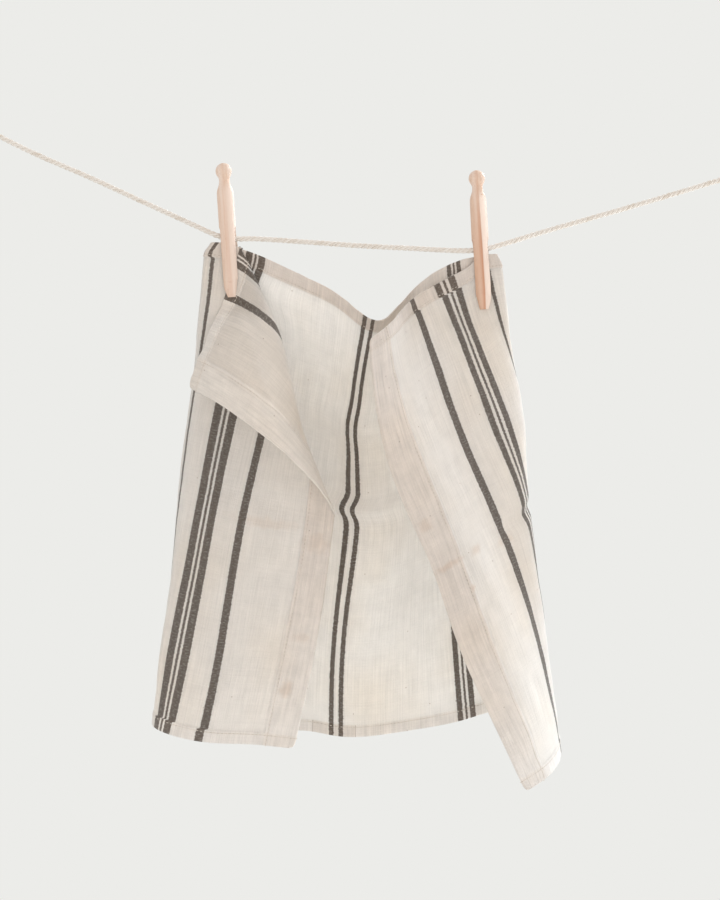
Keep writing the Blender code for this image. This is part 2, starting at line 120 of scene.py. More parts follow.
DEPTH = (
    Depth(0, -20, -26, -30, -36, -38, -38, -38),
    Depth(40, -14, -20, -24, -30, -32, -33, -33),
    Depth(79, -4, -10, -18, -24, -26, -28, -28),
    Depth(111, 0, -5, -12, -18, -22, -25, -26),
    Depth(132, 0, -3, -9, -13, -15, -15, -13),
    Depth(144, 0, -1, -4, -5, -5, -4, -1),
    Depth(151, 1, 1, 1, 2, 3, 4, 6),
    Depth(168, 2, 6, 11, 16, 18, 20, 20),
    Depth(194, 2, 10, 18, 22, 23, 24, 24),
    Depth(247, 3, 24, 34, 26, 22, 24, 24),
    Depth(280, 5, 34, 48, 25, 20, 24, 24),
    Depth(300, 8, 40, 56, 26, 20, 25, 25),
    Depth(353, 31, 43, 47, 27, 24, 28, 28),
    Depth(406, 5, 16, 24, 25, 28, 30, 28),
    Depth(432, 2, 10, 15, 16, 22, 27, 28),
    Depth(445, 0, 3, 4, 5, 13, 20, 23),
    Depth(457, -1, -1, -4, -5, 4, 12, 16),
    Depth(470, -1, -7, -14, -17, -10, 0, 6),
    Depth(489, -3, -14, -26, -32, -29, -20, -12),
    Depth(521, -10, -25, -38, -46, -48, -46, -43),
    Depth(576, -50, -62, -74, -82, -85, -92, -101),
    Depth(600, -64, -74, -80, -84, -90, -100, -115),
)

# The turned corner: where its top hem comes to lie, from the corner's tip up to the peg.  `spring` is
# how far each line runs on upwards from the fold before it turns over, as a share of its length.
CornerHem = namedtuple("CornerHem", "across x depth z spring")
CORNER_HEM = (
    CornerHem(0, -131, -38, -124, 0.11),
    CornerHem(24, -124, -38, -101, 0.14),
    CornerHem(50, -115.5, -24, -76, 0.18),
    CornerHem(79, -105, -8, -46, 0.24),
    CornerHem(100, -98, -2.2, -25, 0.24),
    CornerHem(122, -93, -2.2, -6, 0.24),
)
# The corner's arch from its fold to its hem.  Near the fold it leans out by a share of its size.  Its
# later part starts a share of the way back to the fold, rises by a share of the size, and keeps a share
# of the arch's height.  Puckers take up the rest of its length.
ARCH_LEAN_OUT = 0.10
ARCH_REACH_BACK = 0.32
ARCH_RISE = 0.10
ARCH_FALL = 0.9
ARCH_PUCKER = 0.97

# Folds and creases in the cloth, each a soft ridge along a straight line in the flat cloth.
# `lift` pushes it away from the viewer and `slide` moves it to the right.
Crease = namedtuple("Crease", "across_a along_a across_b along_b half_width lift slide")
CREASES = (
    Crease(-20, 196, 620, 196, 9, 1.6, 0),      # pressed fold across the middle
    Crease(268, 190, 335, 190, 9, -4, -5),      # its sharp kink at the centre stripes
    Crease(262, 108, 345, 112, 16, 3, -2),      # soft kink above it
    Crease(480, 203, 510, 206, 5.5, 1, -2.5),   # notch where that fold meets the right side
    Crease(142, 0, 160, 0, 6, 0, 5),            # top of each side, drawn in towards its peg
    Crease(438, 0, 450, 0, 6, 0, -3),
    Crease(196, 27, 214, 27, 15, 0, -7),        # back panel drawn to the left below the left peg
    Crease(38, 330, 74, 352, 9, 2.5, 0),        # short slanting fold low on the left flap
    Crease(556, 215, 548, 262, 9, -2, 0),       # two short folds beside the right flap's side hem
    Crease(556, 300, 540, 352, 10, 2, 0),
)
CREASE_END_FADE = 1.6

# Each peg's clamp: where the peg's axis crosses the height 0, its lean, the height of its foot, and the
# place across the cloth of the outer fold beside it.
Clamp = namedtuple("Clamp", "x lean foot fold")
LEFT_CLAMP = Clamp(-102.8, 0.068, -48, 150)
RIGHT_CLAMP = Clamp(103.7, 0.055, -58, 449)
CLAMP_HALF_WIDTH = 8.0
CLAMP_BELOW_FOOT = 3.0
CLAMP_FADE = 26.0
FOLD_EASE = 14.0
LAYER_STEP = 2.2

# Pegs, measured down from the top of the ball.
PegSpec = namedtuple("PegSpec", "side clamp length shoulder body foot")
PEGS = (
    PegSpec("left", LEFT_CLAMP, 110.5, 6.9, 6.9, 5.3),
    PegSpec("right", RIGHT_CLAMP, 114.5, 6.8, 7.1, 5.4),
)

# The line's own route across and up, from its left end past both pegs to its right end.
LineStop = namedtuple("LineStop", "x z")
LINE_ROUTE = (
    LineStop(-302, 90.0),
    LineStop(-256, 67.5),
    LineStop(-221, 52.5),
    LineStop(-187, 37.0),
    LineStop(-152, 21.0),
    LineStop(-122, 7.2),
    LineStop(-105, 0.8),
    LineStop(-86, 0.2),
    LineStop(-60, -1.0),
    LineStop(-26, -3.3),
    LineStop(5, -5.5),
    LineStop(35, -7.0),
    LineStop(69, -8.8),
    LineStop(90, -9.6),
    LineStop(104, -8.8),
    LineStop(122, -4.4),
    LineStop(150, 4.2),
    LineStop(190, 15.8),
    LineStop(240, 30.2),
    LineStop(276, 41.0),
    LineStop(312, 52.0),
)

# ---- How finely the cloth's shape is read ----
FINE_ALONG = np.linspace(0, TOWEL_LENGTH, 197)
FINE_SHARE = np.linspace(0, 1, 161)[:, None]
FINE_LINE_POINTS = 2000
ARCH_HALVINGS = 24
ON_THE_FOLD = 0.01
LEAST_FALL = 0.05
LINE_STEP = 1.44


def smooth_through(stations, values, where):
    """Natural cubic curve through `values` (first axis) at `stations`, read at `where`."""
    stations = np.asarray(stations, float)
    values = np.asarray(values, float)
    count = len(stations)
    step = np.diff(stations)
    system = np.eye(count)
    bend = np.zeros_like(values)
    for i in range(1, count - 1):
        system[i, i - 1] = step[i - 1]
        system[i, i] = 2 * (step[i - 1] + step[i])
        system[i, i + 1] = step[i]
        rise_after = (values[i + 1] - values[i]) / step[i]
        rise_before = (values[i] - values[i - 1]) / step[i - 1]
        bend[i] = 6 * (rise_after - rise_before)
    bend = np.linalg.solve(system, bend.reshape(count, -1)).reshape(values.shape)
    where = np.asarray(where, float)
    cell = np.clip(np.searchsorted(stations, where, side="right") - 1, 0, count - 2)
    shape = (-1,) + (1,) * (values.ndim - 1)
    width = step[cell].reshape(shape)
    after = ((where - stations[cell]) / step[cell]).reshape(shape)
    before = 1 - after
    curve = (before ** 3 - before) * bend[cell] + (after ** 3 - after) * bend[cell + 1]
    return before * values[cell] + after * values[cell + 1] + curve * width ** 2 / 6


def soft_step(value):
    """0 below 0, 1 above 1, and smooth between."""
    value = np.clip(value, 0, 1)
    return value * value * (3 - 2 * value)


# ---- The hanging sheet ----
def hanging_lines():
    """Every table line as points in space, its height worked out from its length."""
    lines = []
    for place, depth in zip(HANG, DEPTH):
        x = smooth_through(LEVELS, place[3:], FINE_ALONG)
        y = smooth_through(LEVELS, depth[1:], FINE_ALONG)
        lean = np.gradient(x, FINE_ALONG) ** 2 + np.gradient(y, FINE_ALONG) ** 2
        fall = np.sqrt(np.clip((place.reach / TOWEL_LENGTH) ** 2 - lean, LEAST_FALL, None))
        drop = np.concatenate(([0], np.cumsum((fall[1:] + fall[:-1]) / 2 * np.diff(FINE_ALONG))))
        lines.append(np.stack((x, y, place.top - drop), axis=1))
    return np.array(lines)


HANGING = hanging_lines()
HANG_PLACES = [place.across for place in HANG]


def hold_in_peg(points, clamp, layer):
    """Bring points between a peg's prongs to their layer's depth, fading out around the peg."""
    middle = clamp.x - clamp.lean * points[..., 2]
    aside = np.clip(np.abs(points[..., 0] - middle) - CLAMP_HALF_WIDTH, 0, None)
    below = np.clip(clamp.foot - CLAMP_BELOW_FOOT - points[..., 2], 0, None)
    hold = 1 - soft_step(np.hypot(aside, below) / CLAMP_FADE)
    points[..., 1] += (layer - points[..., 1]) * hold


def press_creases(points, across, along):
    """Add the creases to points that lie at the flat coordinates `across` and `along`."""
    for crease in CREASES:
        run = np.array((crease.across_b - crease.across_a, crease.along_b - crease.along_a))
        length = np.hypot(*run)
        run = run / length
        ahead = (across - crease.across_a) * run[0] + (along - crease.along_a) * run[1]
        beside = (along - crease.along_a) * run[0] - (across - crease.across_a) * run[1]
        past_end = (np.clip(-ahead, 0, None) + np.clip(ahead - length, 0, None)) / CREASE_END_FADE
        strength = np.exp(-(beside ** 2 + past_end ** 2) / crease.half_width ** 2)
        points[..., 0] += crease.slide * strength
        points[..., 1] += crease.lift * strength


def sheet(across, along):
    """Middle of the hanging cloth for lists of flat coordinates, as an array [across, along, xyz]."""
    across = np.asarray(across, float)
    along = np.asarray(along, float)
    rows = smooth_through(HANG_PLACES, HANGING, across)
    points = np.swapaxes(smooth_through(FINE_ALONG, np.swapaxes(rows, 0, 1), along), 0, 1)
    places = across[:, None] * np.ones(len(along))
    press_creases(points, places, along[None, :])
    behind = soft_step((places - LEFT_CLAMP.fold) / FOLD_EASE + 0.5)
    hold_in_peg(points, LEFT_CLAMP, LAYER_STEP * behind)
    in_front = soft_step((places - RIGHT_CLAMP.fold) / FOLD_EASE + 0.5)
    hold_in_peg(points, RIGHT_CLAMP, LAYER_STEP * (0.5 - in_front))
    return points


def turn_along(across):
    """How far down the cloth the corner's fold lies on the line at `across`."""
    return TURN_ALONG * max(0.0, 1 - across / TURN_ACROSS)


CORNER_PLACES = [row.across for row in CORNER_HEM]
CORNER_POINTS = np.array([row[1:] for row in CORNER_HEM])
FORWARD = np.array((0.0, -1.0, 0.0))
UPWARD = np.array((0.0, 0.0, 1.0))


def corner_arch(fold, hem, size, spring, height):
    """Curve over which one line of the turned corner goes from its fold to the top hem."""
    first = fold + size * spring + (ARCH_LEAN_OUT * size + height) * FORWARD
    second = hem + ARCH_REACH_BACK * (fold - hem) + ARCH_RISE * size * UPWARD + ARCH_FALL * height * FORWARD
    back = 1 - FINE_SHARE
    start = back ** 3 * fold + 3 * back ** 2 * FINE_SHARE * first
    return start + 3 * back * FINE_SHARE ** 2 * second + FINE_SHARE ** 3 * hem


def length_of(curve):
    """Length of a curve given as points in a row."""
    return np.linalg.norm(np.diff(curve, axis=0), axis=1).sum()


def turned_corner(across, along):
    """Middle of the turned corner on the line at `across`, for places above its fold."""
    size = turn_along(across)
    fold, below = sheet([across], [size, size + HEM_EASE])[0]
    hem = smooth_through(CORNER_PLACES, CORNER_POINTS, [across])[0]
    spring = hem[3] * (fold - below) / np.linalg.norm(fold - below)
    hem = hem[:3]
    low, high = 0.0, size
    for _ in range(ARCH_HALVINGS):
        height = (low + high) / 2
        if length_of(corner_arch(fold, hem, size, spring, height)) < ARCH_PUCKER * size:
            low = height
        else:
            high = height
    curve = corner_arch(fold, hem, size, spring, low)
    steps = np.linalg.norm(np.diff(curve, axis=0), axis=1)
    run = np.concatenate(([0], np.cumsum(steps))) / steps.sum()
    wanted = (size - np.asarray(along, float)) / size
    points = np.stack([np.interp(wanted, run, curve[:, axis]) for axis in range(3)], axis=1)
    hold_in_peg(points, LEFT_CLAMP, -LAYER_STEP)
    return points


# ---- The line's route ----
def line_route():
    """Route of the line as evenly spaced points in space, and its direction at each."""
    stops = np.array([(stop.x, 0.0, stop.z) for stop in LINE_ROUTE])
    reach = np.concatenate(([0], np.cumsum(np.linalg.norm(np.diff(stops, axis=0), axis=1))))
    path = smooth_through(reach, stops, np.linspace(0, reach[-1], FINE_LINE_POINTS))
    run = np.concatenate(([0], np.cumsum(np.linalg.norm(np.diff(path, axis=0), axis=1))))
    rings = int(round(run[-1] / LINE_STEP))
    wanted = np.linspace(0, run[-1], rings + 1)
    route = np.stack([np.interp(wanted, run, path[:, axis]) for axis in range(3)], axis=1)
    heading = np.gradient(route, axis=0)
    heading /= np.linalg.norm(heading, axis=1)[:, None]
    return route, heading


# The distance from the end of the line to its eye's centre, with the whipping between them.
EYE_REACH = 2 * TOUCH_GAP + WHIPPING_LENGTH + EYE_RADIUS + LINE_RADIUS
ROUTE, HEADING = line_route()
ORIGIN = ROUTE[0] - EYE_REACH * HEADING[0]
DEPTHWISE = np.array((0.0, 1.0, 0.0))


# ---- Finer sizes of the cloth (mm) ----
SIDE_STITCH = 23.2
SIDE_HEM = 25.8
TOP_HEM = 12.0
BOTTOM_HEM = 10.4
END_STITCH_IN = 1.9
HEM_TURN = 1.0
HEM_RIB_PITCH = 1.9
STITCH_LIFT = 0.08
STITCH_FLATNESS = 0.8
EDGE_LINES = (0.0, 0.35, 1.0)
EDGE_SHARES = (0.3, 0.8, 1.0)
SEAM_LINES = (-1.7, -0.8, 0.0, 0.8, 1.6, 2.3, 3.0)
TURN_LINES = 57
OPEN_COLUMNS = 171
OPEN_ROWS = 68
LEAST_CELL = 0.004
LEAST_GAP = 0.6
SEAM_SINK = 0.14
SEAM_SINK_WIDTH = 0.7

# Stripes are placed by their distance from the towel's centre line, the same on both sides of it.
Stripe = namedtuple("Stripe", "distance width")
STRIPES = (
    Stripe(3.75, 3.6),      # the pair at the centre
    Stripe(156.0, 2.7),     # narrow single stripes
    Stripe(221.0, 6.5),     # broad single stripes
)
# Groups of three: the middle of each group, and its thin stripe between two thick ones.  The groups on
# the right are woven narrower.
TRIPLES = (106.0, 189.0)
TRIPLE_LEFT = (Stripe(0.0, 2.0), Stripe(6.0, 6.3))
TRIPLE_RIGHT = (Stripe(0.0, 1.8), Stripe(5.3, 4.6))
HEM_SHIFT = 2.4
STRIPE_WAVER = 0.9

# Shadows drawn into the cloth: the line of each seam, and the two ends of a doubled patch in the foot hem,
# each end with the places between which it fades.
SEAM_SHADOW = 0.35
PATCH_START = (281.0, 281.8)
PATCH_END = (314.8, 316.0)
PATCH_SHADOW = 0.5
SHADOW_SOFTNESS = 0.4

# Soft unevenness of the cloth: how high it stands and how long its waves are.
Wave = namedtuple("Wave", "height length_across length_along seed")
WAVES = (
    Wave(1.1, 62, 90, 3.1),
    Wave(0.9, 26, 40, 8.7),
    Wave(0.34, 11, 17, 15.2),
)
PUCKER = Wave(0.9, 60, 12, 22.4)
PUCKER_REACH = 15.0
TOP_PUCKER = Wave(1.1, 8, 30, 31.6)
TOP_PUCKER_REACH = 11.0
LEAST_PUCKER = 0.02
WRINKLE_FADE = 0.7
LAPPED_FADE = 34.0
CORNER_ROUND = 5.0

# Clouds of unevenness in the threads and the dye: how many there are in a millimetre across and along, how
# much finer detail they have, and how strong it is.
Cloud = namedtuple("Cloud", "across along detail roughness")
CLOUDS = {
    "warp": Cloud(0.95, 0.016, 3.0, 0.6),
    "weft": Cloud(0.014, 0.95, 3.0, 0.6),
    "fine": Cloud(0.8, 0.9, 2.0, 0.7),
    "broad": Cloud(0.011, 0.009, 2.0, 0.5),
    "pleats": Cloud(0.36, 0.02, 2.0, 0.6),
    "crumple_shade": Cloud(0.11, 0.075, 3.0, 0.6),
    "stripe_edge": Cloud(0.1, 0.72, 2.0, 0.7),
    "crossing": Cloud(0.32, 0.9, 3.0, 0.75),
    "worn": Cloud(0.25, 0.03, 3.0, 0.6),
    "seam": Cloud(0.05, 0.05, 2.0, 0.5),
    "stain_and_fold_shade_edge": Cloud(0.16, 0.16, 2.0, 0.5),
}

# Brown specks of seed husk: the width of the cells of cloth in which they lie, the share of the cells that
# hold none, and a speck's radius as a share of its cell.
SPECK_SPACING = 21.0
SPECK_RARITY = 0.86
SPECK_REACH = 0.03

# Faint warm stains and rubbed patches on the cloth, and painted shade along and under the pressed fold.
StainAndFoldShade = namedtuple("StainAndFoldShade", "across along half_across half_along strength")
STAINS_AND_FOLD_SHADE = (
    StainAndFoldShade(16, 344, 6.0, 8.0, 0.6),      # left flap's side hem
    StainAndFoldShade(13, 300, 9.0, 5.0, 0.3),
    StainAndFoldShade(14, 222, 13.0, 9.0, 0.35),
    # The next row is painted shade along the pressed fold.
    StainAndFoldShade(60, 212, 30.0, 5.0, 0.3),     # along the pressed fold on the left flap
    # The next row is painted shade under the pressed fold.
    StainAndFoldShade(587, 204, 14.0, 3.4, 0.6),    # under the pressed fold on the right flap's side hem
    StainAndFoldShade(557, 206, 7.0, 4.5, 0.45),
    StainAndFoldShade(574, 230, 2.6, 3.6, 0.6),
    StainAndFoldShade(592, 166, 6.0, 7.0, 0.45),
    StainAndFoldShade(522, 214, 9.0, 4.0, 0.35),
)

# Narrow wrinkles in the hanging cloth, each along a straight line in the flat cloth.  `height` stands out
# from the outer face, and `power` is 2 for a soft ridge and near 1 for one with a crisp top.
Wrinkle = namedtuple("Wrinkle", "across_a along_a across_b along_b half_width height power")
WRINKLES = (
    Wrinkle(66, 26, 25, 82, 11.0, -3.6, 1.0),       # turned corner: crisp bend beside its fold
    Wrinkle(92, 24, 60, 60, 6.0, 0.7, 1.6),         # pulls running down from the left peg
    Wrinkle(78, 10, 40, 40, 4.5, -0.6, 1.6),
    Wrinkle(70, 30, 34, 58, 4.0, 0.6, 1.6),
    Wrinkle(22, 60, 4, 96, 5.0, -0.5, 1.6),
    Wrinkle(570, 203, 600, 200, 3.5, -1.1, 1.3),    # pressed fold across the right flap's side hem
    Wrinkle(574, 150, 600, 143, 4.0, 0.5, 1.6),
    Wrinkle(38, 326, 66, 350, 4.0, 1.3, 1.3),       # short slanting folds low on the left flap
    Wrinkle(40, 374, 58, 350, 4.0, 0.9, 1.5),
    Wrinkle(292, 150, 318, 186, 7.0, 1.0, 1.6),     # slanting pulls above the pressed fold
    Wrinkle(318, 150, 296, 186, 6.0, -0.7, 1.6),
    Wrinkle(330, 205, 372, 214, 7.0, 0.7, 1.6),
    Wrinkle(228, 205, 262, 232, 7.0, 0.7, 1.6),
    Wrinkle(520, 60, 470, 150, 8.0, 0.9, 1.6),      # long soft pulls from the right peg
    Wrinkle(548, 90, 530, 190, 8.0, -0.8, 1.6),
    Wrinkle(470, 30, 458, 120, 5.0, 0.6, 1.6),
    Wrinkle(232, 20, 268, 96, 8.0, 0.9, 1.6),       # and across the back panel from both pegs
    Wrinkle(378, 24, 344, 100, 8.0, 0.9, 1.6),
    Wrinkle(402, 40, 384, 150, 7.0, -0.8, 1.6),
)

# ---- Finer sizes of the pegs (mm) ----
Turning = namedtuple("Turning", "down radius")
PEG_NECK = (
    Turning(11.9, 4.75),
    Turning(13.2, 4.35),
    Turning(14.8, 4.3),
    Turning(17.0, 4.6),
    Turning(19.2, 5.3),
    Turning(21.4, 6.15),
    Turning(23.4, 6.7),
    Turning(25.6, 6.9),
)
# A peg's body is full from this share of its length down to PEG_TAPER above its end, halfway in to the
# foot's radius at PEG_FOOT_TAPER above it, and a little narrower still at the very end.
PEG_BODY_SHARE = 0.6
PEG_TAPER = 9.0
PEG_FOOT_TAPER = 4.0
PEG_FOOT_EASE = 0.6
PEG_SIDES = 48
BALL_RINGS = 14
BALL_FIRST_TURN = 0.05
BODY_RINGS = 12
SLOT_ARC_STEPS = 12
# Flat cuts on the pegs: the direction they face, turned from the viewer to the right, and how far the flat
# lies from the peg's axis at its upper and lower end.
Flat = namedtuple("Flat", "side turn down_a out_a down_b out_b")
FLATS = (
    Flat("right", 42, 20.5, 5.3, 118, 7.3),
    Flat("left", 0, 98, 6.4, 113, 3.9),
    Flat("left", 55, 96, 6.5, 113, 4.3),
    Flat("right", 0, 102, 6.6, 117, 4.1),
    Flat("right", -50, 104, 6.6, 117, 4.6),
)
BACK_PRONG_TURN = {"left": 2.6, "right": 1.6}
ROUND_EDGE = 0.35
SOFT_EDGE_ANGLE = math.radians(38)
CUTTER_REACH = 3 * PEG_BALL

# The pegs' painted light and shade: how red the heart and the painted shade on the left are, and how sharply
# the painted lit side on the right begins.
Wood = namedtuple("Wood", "redness crispness")
WOOD_LIGHT_AND_SHADE = {"left": Wood(0.25, 3.0), "right": Wood(0.7, 0.5)}

# ---- Strands, whippings and eyes (mm) ----
STRAND_OFFSET = 1.2
STRAND_RADIUS = 1.12
STRAND_SIDES = 10
TWINE_RADIUS = 0.55
TWINE_SIDES = 6
TWINE_OFFSET = 4.05
TWINE_STEP = 0.1
WHIPPING_STOPS = 15
CORE_OFFSET = 1.75
CORE_RADIUS = 1.85
EYE_STEPS = 96
EYE_TURNS = 4
# How far apart along the cotton's pattern two neighbouring strands are read, so that they look unlike.
STRAND_SHIFT = 37.0

# ---- The camera and the studio ----
CAMERA_PLACE = (0.3302687, -1.2, -0.2747748)
CAMERA_LENS = 58.54
SENSOR = 36.0
FLOOR_HEIGHT = -1.1
FLOOR_SIZE = 1.4
SIDE_LIGHT = (0.94, 0.965, 1.0)
BACK_LIGHT = (0.83, 0.93, 1.0)
ROOM_LIGHT = (1.0, 0.96, 0.925)

# Soft lamps, placed in metres from the middle of the view.
Lamp = namedtuple("Lamp", "name right away up size colour")
LAMPS = (
    Lamp("key", 1.1, 0.35, -0.8, 0.8, SIDE_LIGHT),
    Lamp("high", 0.95, 0.27, 0.95, 0.3, SIDE_LIGHT),
    Lamp("back", 0.85, 0.95, 0.9, 0.5, BACK_LIGHT),
    Lamp("front", 0.1, -1.6, -0.7, 1.4, ROOM_LIGHT),
)


def screen(red, green, blue):
    """Linear colour of a shade given the way a screen shows it, each part from 0 to 255."""
    return tuple(((part / 255 + 0.055) / 1.055) ** 2.4 for part in (red, green, blue))


# ---- Lesser colours ----
WARM_CLOUD = screen(238, 228, 212)
HUSK = screen(140, 108, 80)
# tint of the stains and of the painted shade along the pressed fold
STAIN_AND_FOLD_SHADE = screen(241, 229, 219)
WORN_CHARCOAL = screen(126, 114, 104)
# painted shade where two hems cross
DOUBLE_HEM_SHADE = screen(249, 245, 241)
# painted shade of the patch in the foot hem, and painted shadow at its ends
PATCH_SHADE = screen(225, 212, 198)
PATCH_EDGE_SHADOW = screen(150, 130, 114)
SEAM_SHADE = screen(178, 160, 144)
# painted shade on the turned corner
LAPPED_SHADE = screen(250, 246, 241)
THREAD_PLY = screen(216, 205, 190)
PORE = screen(190, 150, 124)
FLECK = screen(178, 132, 106)
RUBBED_WOOD = screen(236, 222, 208)
# redder wood and painted shade on the left of the pegs
HEART_AND_SHADE = screen(236, 206, 184)
# painted shade line at the edge of the pegs' lit side
SHADE_LINE = screen(226, 186, 164)
# painted light: the pegs' paler right side
LIT_SIDE_WOOD = screen(240, 220, 206)
# painted shade in the grooves between the line's yarns
YARN_GROOVE_SHADE = screen(196, 184, 171)
YARN_FUZZ = screen(204, 195, 183)
LINE_STAIN = screen(224, 214, 200)
FLOOR_CLOUD = screen(226, 225, 220)
NO_TINT = (1.0, 1.0, 1.0)


# ---- What a user may change ----
def colour_choice(name, description, shade):
    """A colour that a user may change."""
    return bpy.props.FloatVectorProperty(
        name=name, description=description, subtype="COLOR", size=3, min=0, max=1, default=shade
    )


def length_choice(name, description, millimetres):
    """A length that a user may change, kept in metres."""
    return bpy.props.FloatProperty(
        name=name, description=description, default=millimetres * MM, min=0, precision=5, unit="LENGTH"
    )


def strength_choice(name, description, value, unit="NONE"):
    """A strength of light that a user may change."""
    return bpy.props.FloatProperty(name=name, description=description, default=value, min=0, unit=unit)


class ClothChoices(bpy.types.PropertyGroup):
    """Sizes and colours of the towel."""
    thickness: length_choice("Cloth thickness", "Thickness of one layer of the cloth", 0.75)
    weave: length_choice("Thread spacing", "Distance between neighbouring threads", 0.85)
    cream: colour_choice("Cream", "Colour of the plain cloth", screen(250, 247, 243))
    charcoal: colour_choice("Charcoal", "Colour of the stripes", screen(108, 99, 91))
    # The hem tint is painted shade of the doubled cloth, which lets less light through.
    hem: colour_choice("Hem tint", "Tint of the doubled cloth of the hems", screen(236, 228, 222))
    through: colour_choice("Light through", "Tint of light that has passed through", screen(252, 249, 247))
    glow: bpy.props.FloatProperty(
        name="Sheerness", description="Share of the light that passes through one layer",
        default=0.45, min=0, max=1, subtype="FACTOR",
    )


class StitchChoices(bpy.types.PropertyGroup):
    """Sizes and colour of the hems' stitching."""
    spacing: length_choice("Stitch spacing", "Distance from one stitch to the next", 3.1)
    length: length_choice("Stitch length", "Length of thread that each stitch shows", 2.2)
    width: length_choice("Stitch width", "Width of the thread", 0.5)
    thread: colour_choice("Thread", "Colour of the sewing thread", screen(238, 230, 219))


class PegChoices(bpy.types.PropertyGroup):
    """Colours of the pegs' wood."""
    pale: colour_choice("Pale wood", "Lighter colour of the wood", screen(237, 219, 206))
    warm: colour_choice("Warm wood", "Darker colour of the wood's grain", screen(224, 194, 171))


class LineChoices(bpy.types.PropertyGroup):
    """Sizes and colour of the twisted line."""
    pitch: length_choice("Twist", "Length of line in which a strand goes once round", LINE_PITCH)
    strands: bpy.props.IntProperty(
        name="Strands", description="Number of strands laid together", default=3, min=2, max=6
    )
    cotton: colour_choice("Line", "Colour of the line's cotton", screen(240, 234, 227))


class StudioChoices(bpy.types.PropertyGroup):
    """Light and background."""
    backdrop: colour_choice("Background", "Colour of the studio all round", screen(236, 236, 233))
    air_front: strength_choice("Air in front", "Strength of the air's light from the viewer's side", 0.85)
    air_back: strength_choice("Air behind", "Strength of the air's light from behind the towel", 1.02)
    key: strength_choice("Key light", "Power of the large soft light low on the right", 13, "POWER")
    front: strength_choice("Front light", "Power of the weak wide light below the camera", 7, "POWER")
    high: strength_choice("High light", "Power of the small light high on the right", 5, "POWER")
    back: strength_choice("Back light", "Power of the soft light behind the towel", 13, "POWER")


# ---- Laying out nodes ----
class Board:
    """Lays out and joins the nodes of one tree."""

    def __init__(self, tree):
        self.tree = tree

    def node(self, kind, inputs=None, **settings):
        """A new node; an input is either a value or another node's socket."""
        made = self.tree.nodes.new(kind)
        for name, value in settings.items():
            setattr(made, name, value)
        for key, value in (inputs or {}).items():
            if isinstance(value, bpy.types.NodeSocket):
                self.tree.links.new(value, made.inputs[key])
            else:
                made.inputs[key].default_value = value
        return made

    def calc(self, operation, *values):
        """A sum or other step of arithmetic on numbers."""
        return self.node("ShaderNodeMath", dict(enumerate(values)), operation=operation).outputs[0]

    def vector(self, operation, *values):
        """A step of arithmetic on vectors."""
        made = self.node("ShaderNodeVectorMath", dict(enumerate(values)), operation=operation)
        return made.outputs["Value" if operation in {"DOT_PRODUCT", "LENGTH"} else "Vector"]

    def total(self, first, *others, operation="ADD"):
        """The values joined by one operation, from the first to the last."""
        for other in others:
            first = self.calc(operation, first, other)
        return first

    def fade(self, value, start, end, low=0.0, high=1.0):
        """`low` up to `start`, `high` from `end` on, and smooth between."""
        inputs = {"Value": value, "From Min": start, "From Max": end, "To Min": low, "To Max": high}
        return self.node("ShaderNodeMapRange", inputs, interpolation_type="SMOOTHSTEP").outputs["Result"]

    def level(self, value, start, end, low, high):
        """Straight from `low` at `start` to `high` at `end`."""
        inputs = {"Value": value, "From Min": start, "From Max": end, "To Min": low, "To Max": high}
        return self.node("ShaderNodeMapRange", inputs, interpolation_type="LINEAR").outputs["Result"]

    def mix(self, share, first, second, mode="MIX"):
        """Two colours mixed; each is a colour of its own or another node's socket."""
        inputs = {0: share, 6: with_alpha(first), 7: with_alpha(second)}
        return self.node("ShaderNodeMix", inputs, data_type="RGBA", blend_type=mode).outputs[2]

    def tint(self, share, shade, colour):
        """`shade` multiplied by `colour` as far as `share` says."""
        return self.mix(share, shade, colour, "MULTIPLY")

    def cloud(self, place, stretch, detail=2.0, roughness=0.5):
        """Soft noise from 0 to 1, read at `place` times `stretch`."""
        inputs = {
            "Vector": self.vector("MULTIPLY", place, stretch),
            "Scale": 1.0,
            "Detail": detail,
            "Roughness": roughness,
        }
        return self.node("ShaderNodeTexNoise", inputs).outputs["Fac"]

    def vec(self, x, y, z=0.0):
        return self.node("ShaderNodeCombineXYZ", {"X": x, "Y": y, "Z": z}).outputs["Vector"]

    def parts(self, vector):
        return self.node("ShaderNodeSeparateXYZ", {"Vector": vector}).outputs

    def attribute(self, name, output):
        return self.node("ShaderNodeAttribute", attribute_name=name).outputs[output]


def with_alpha(shade):
    """A colour as nodes take it; another node's socket stays as it is."""
    return shade if isinstance(shade, bpy.types.NodeSocket) else (*shade, 1.0)


def empty_look(name):
    """A material whose tree is still empty, and a board on that tree."""
    look = bpy.data.materials.new(name)
    look.use_nodes = True
    look.node_tree.nodes.clear()
    return look, Board(look.node_tree)


def close_look(board, surface):
    """Join the surface to the material's output."""
    board.node("ShaderNodeOutputMaterial", {"Surface": surface})


# ---- Cotton cloth ----
Hems = namedtuple("Hems", "from_side to_foot side foot end all both")


def hem_shares(board, across, along):
    """Distance from the nearest side and from the foot, and how far each hem covers the place."""
    from_side = board.calc("MINIMUM", across, board.calc("SUBTRACT", TOWEL_WIDTH, across))
    to_foot = board.calc("SUBTRACT", TOWEL_LENGTH, along)
    side, top, foot = (
        board.fade(place, edge + HEM_TURN / 2, edge - HEM_TURN / 2)
        for place, edge in ((from_side, SIDE_HEM), (along, TOP_HEM), (to_foot, BOTTOM_HEM))
    )
    end = board.calc("MAXIMUM", top, foot)
    either = board.calc("MAXIMUM", side, end)
    return Hems(from_side, to_foot, side, foot, end, either, board.calc("MULTIPLY", side, end))


def stripe_share(board, distance, stripe, softness=0.28):
    """1 inside the stripe, 0 outside, by how far `distance` is from the stripe's middle."""
    off = board.calc("ABSOLUTE", board.calc("SUBTRACT", distance, stripe.distance))
    return board.fade(off, stripe.width / 2 + softness, stripe.width / 2 - softness)


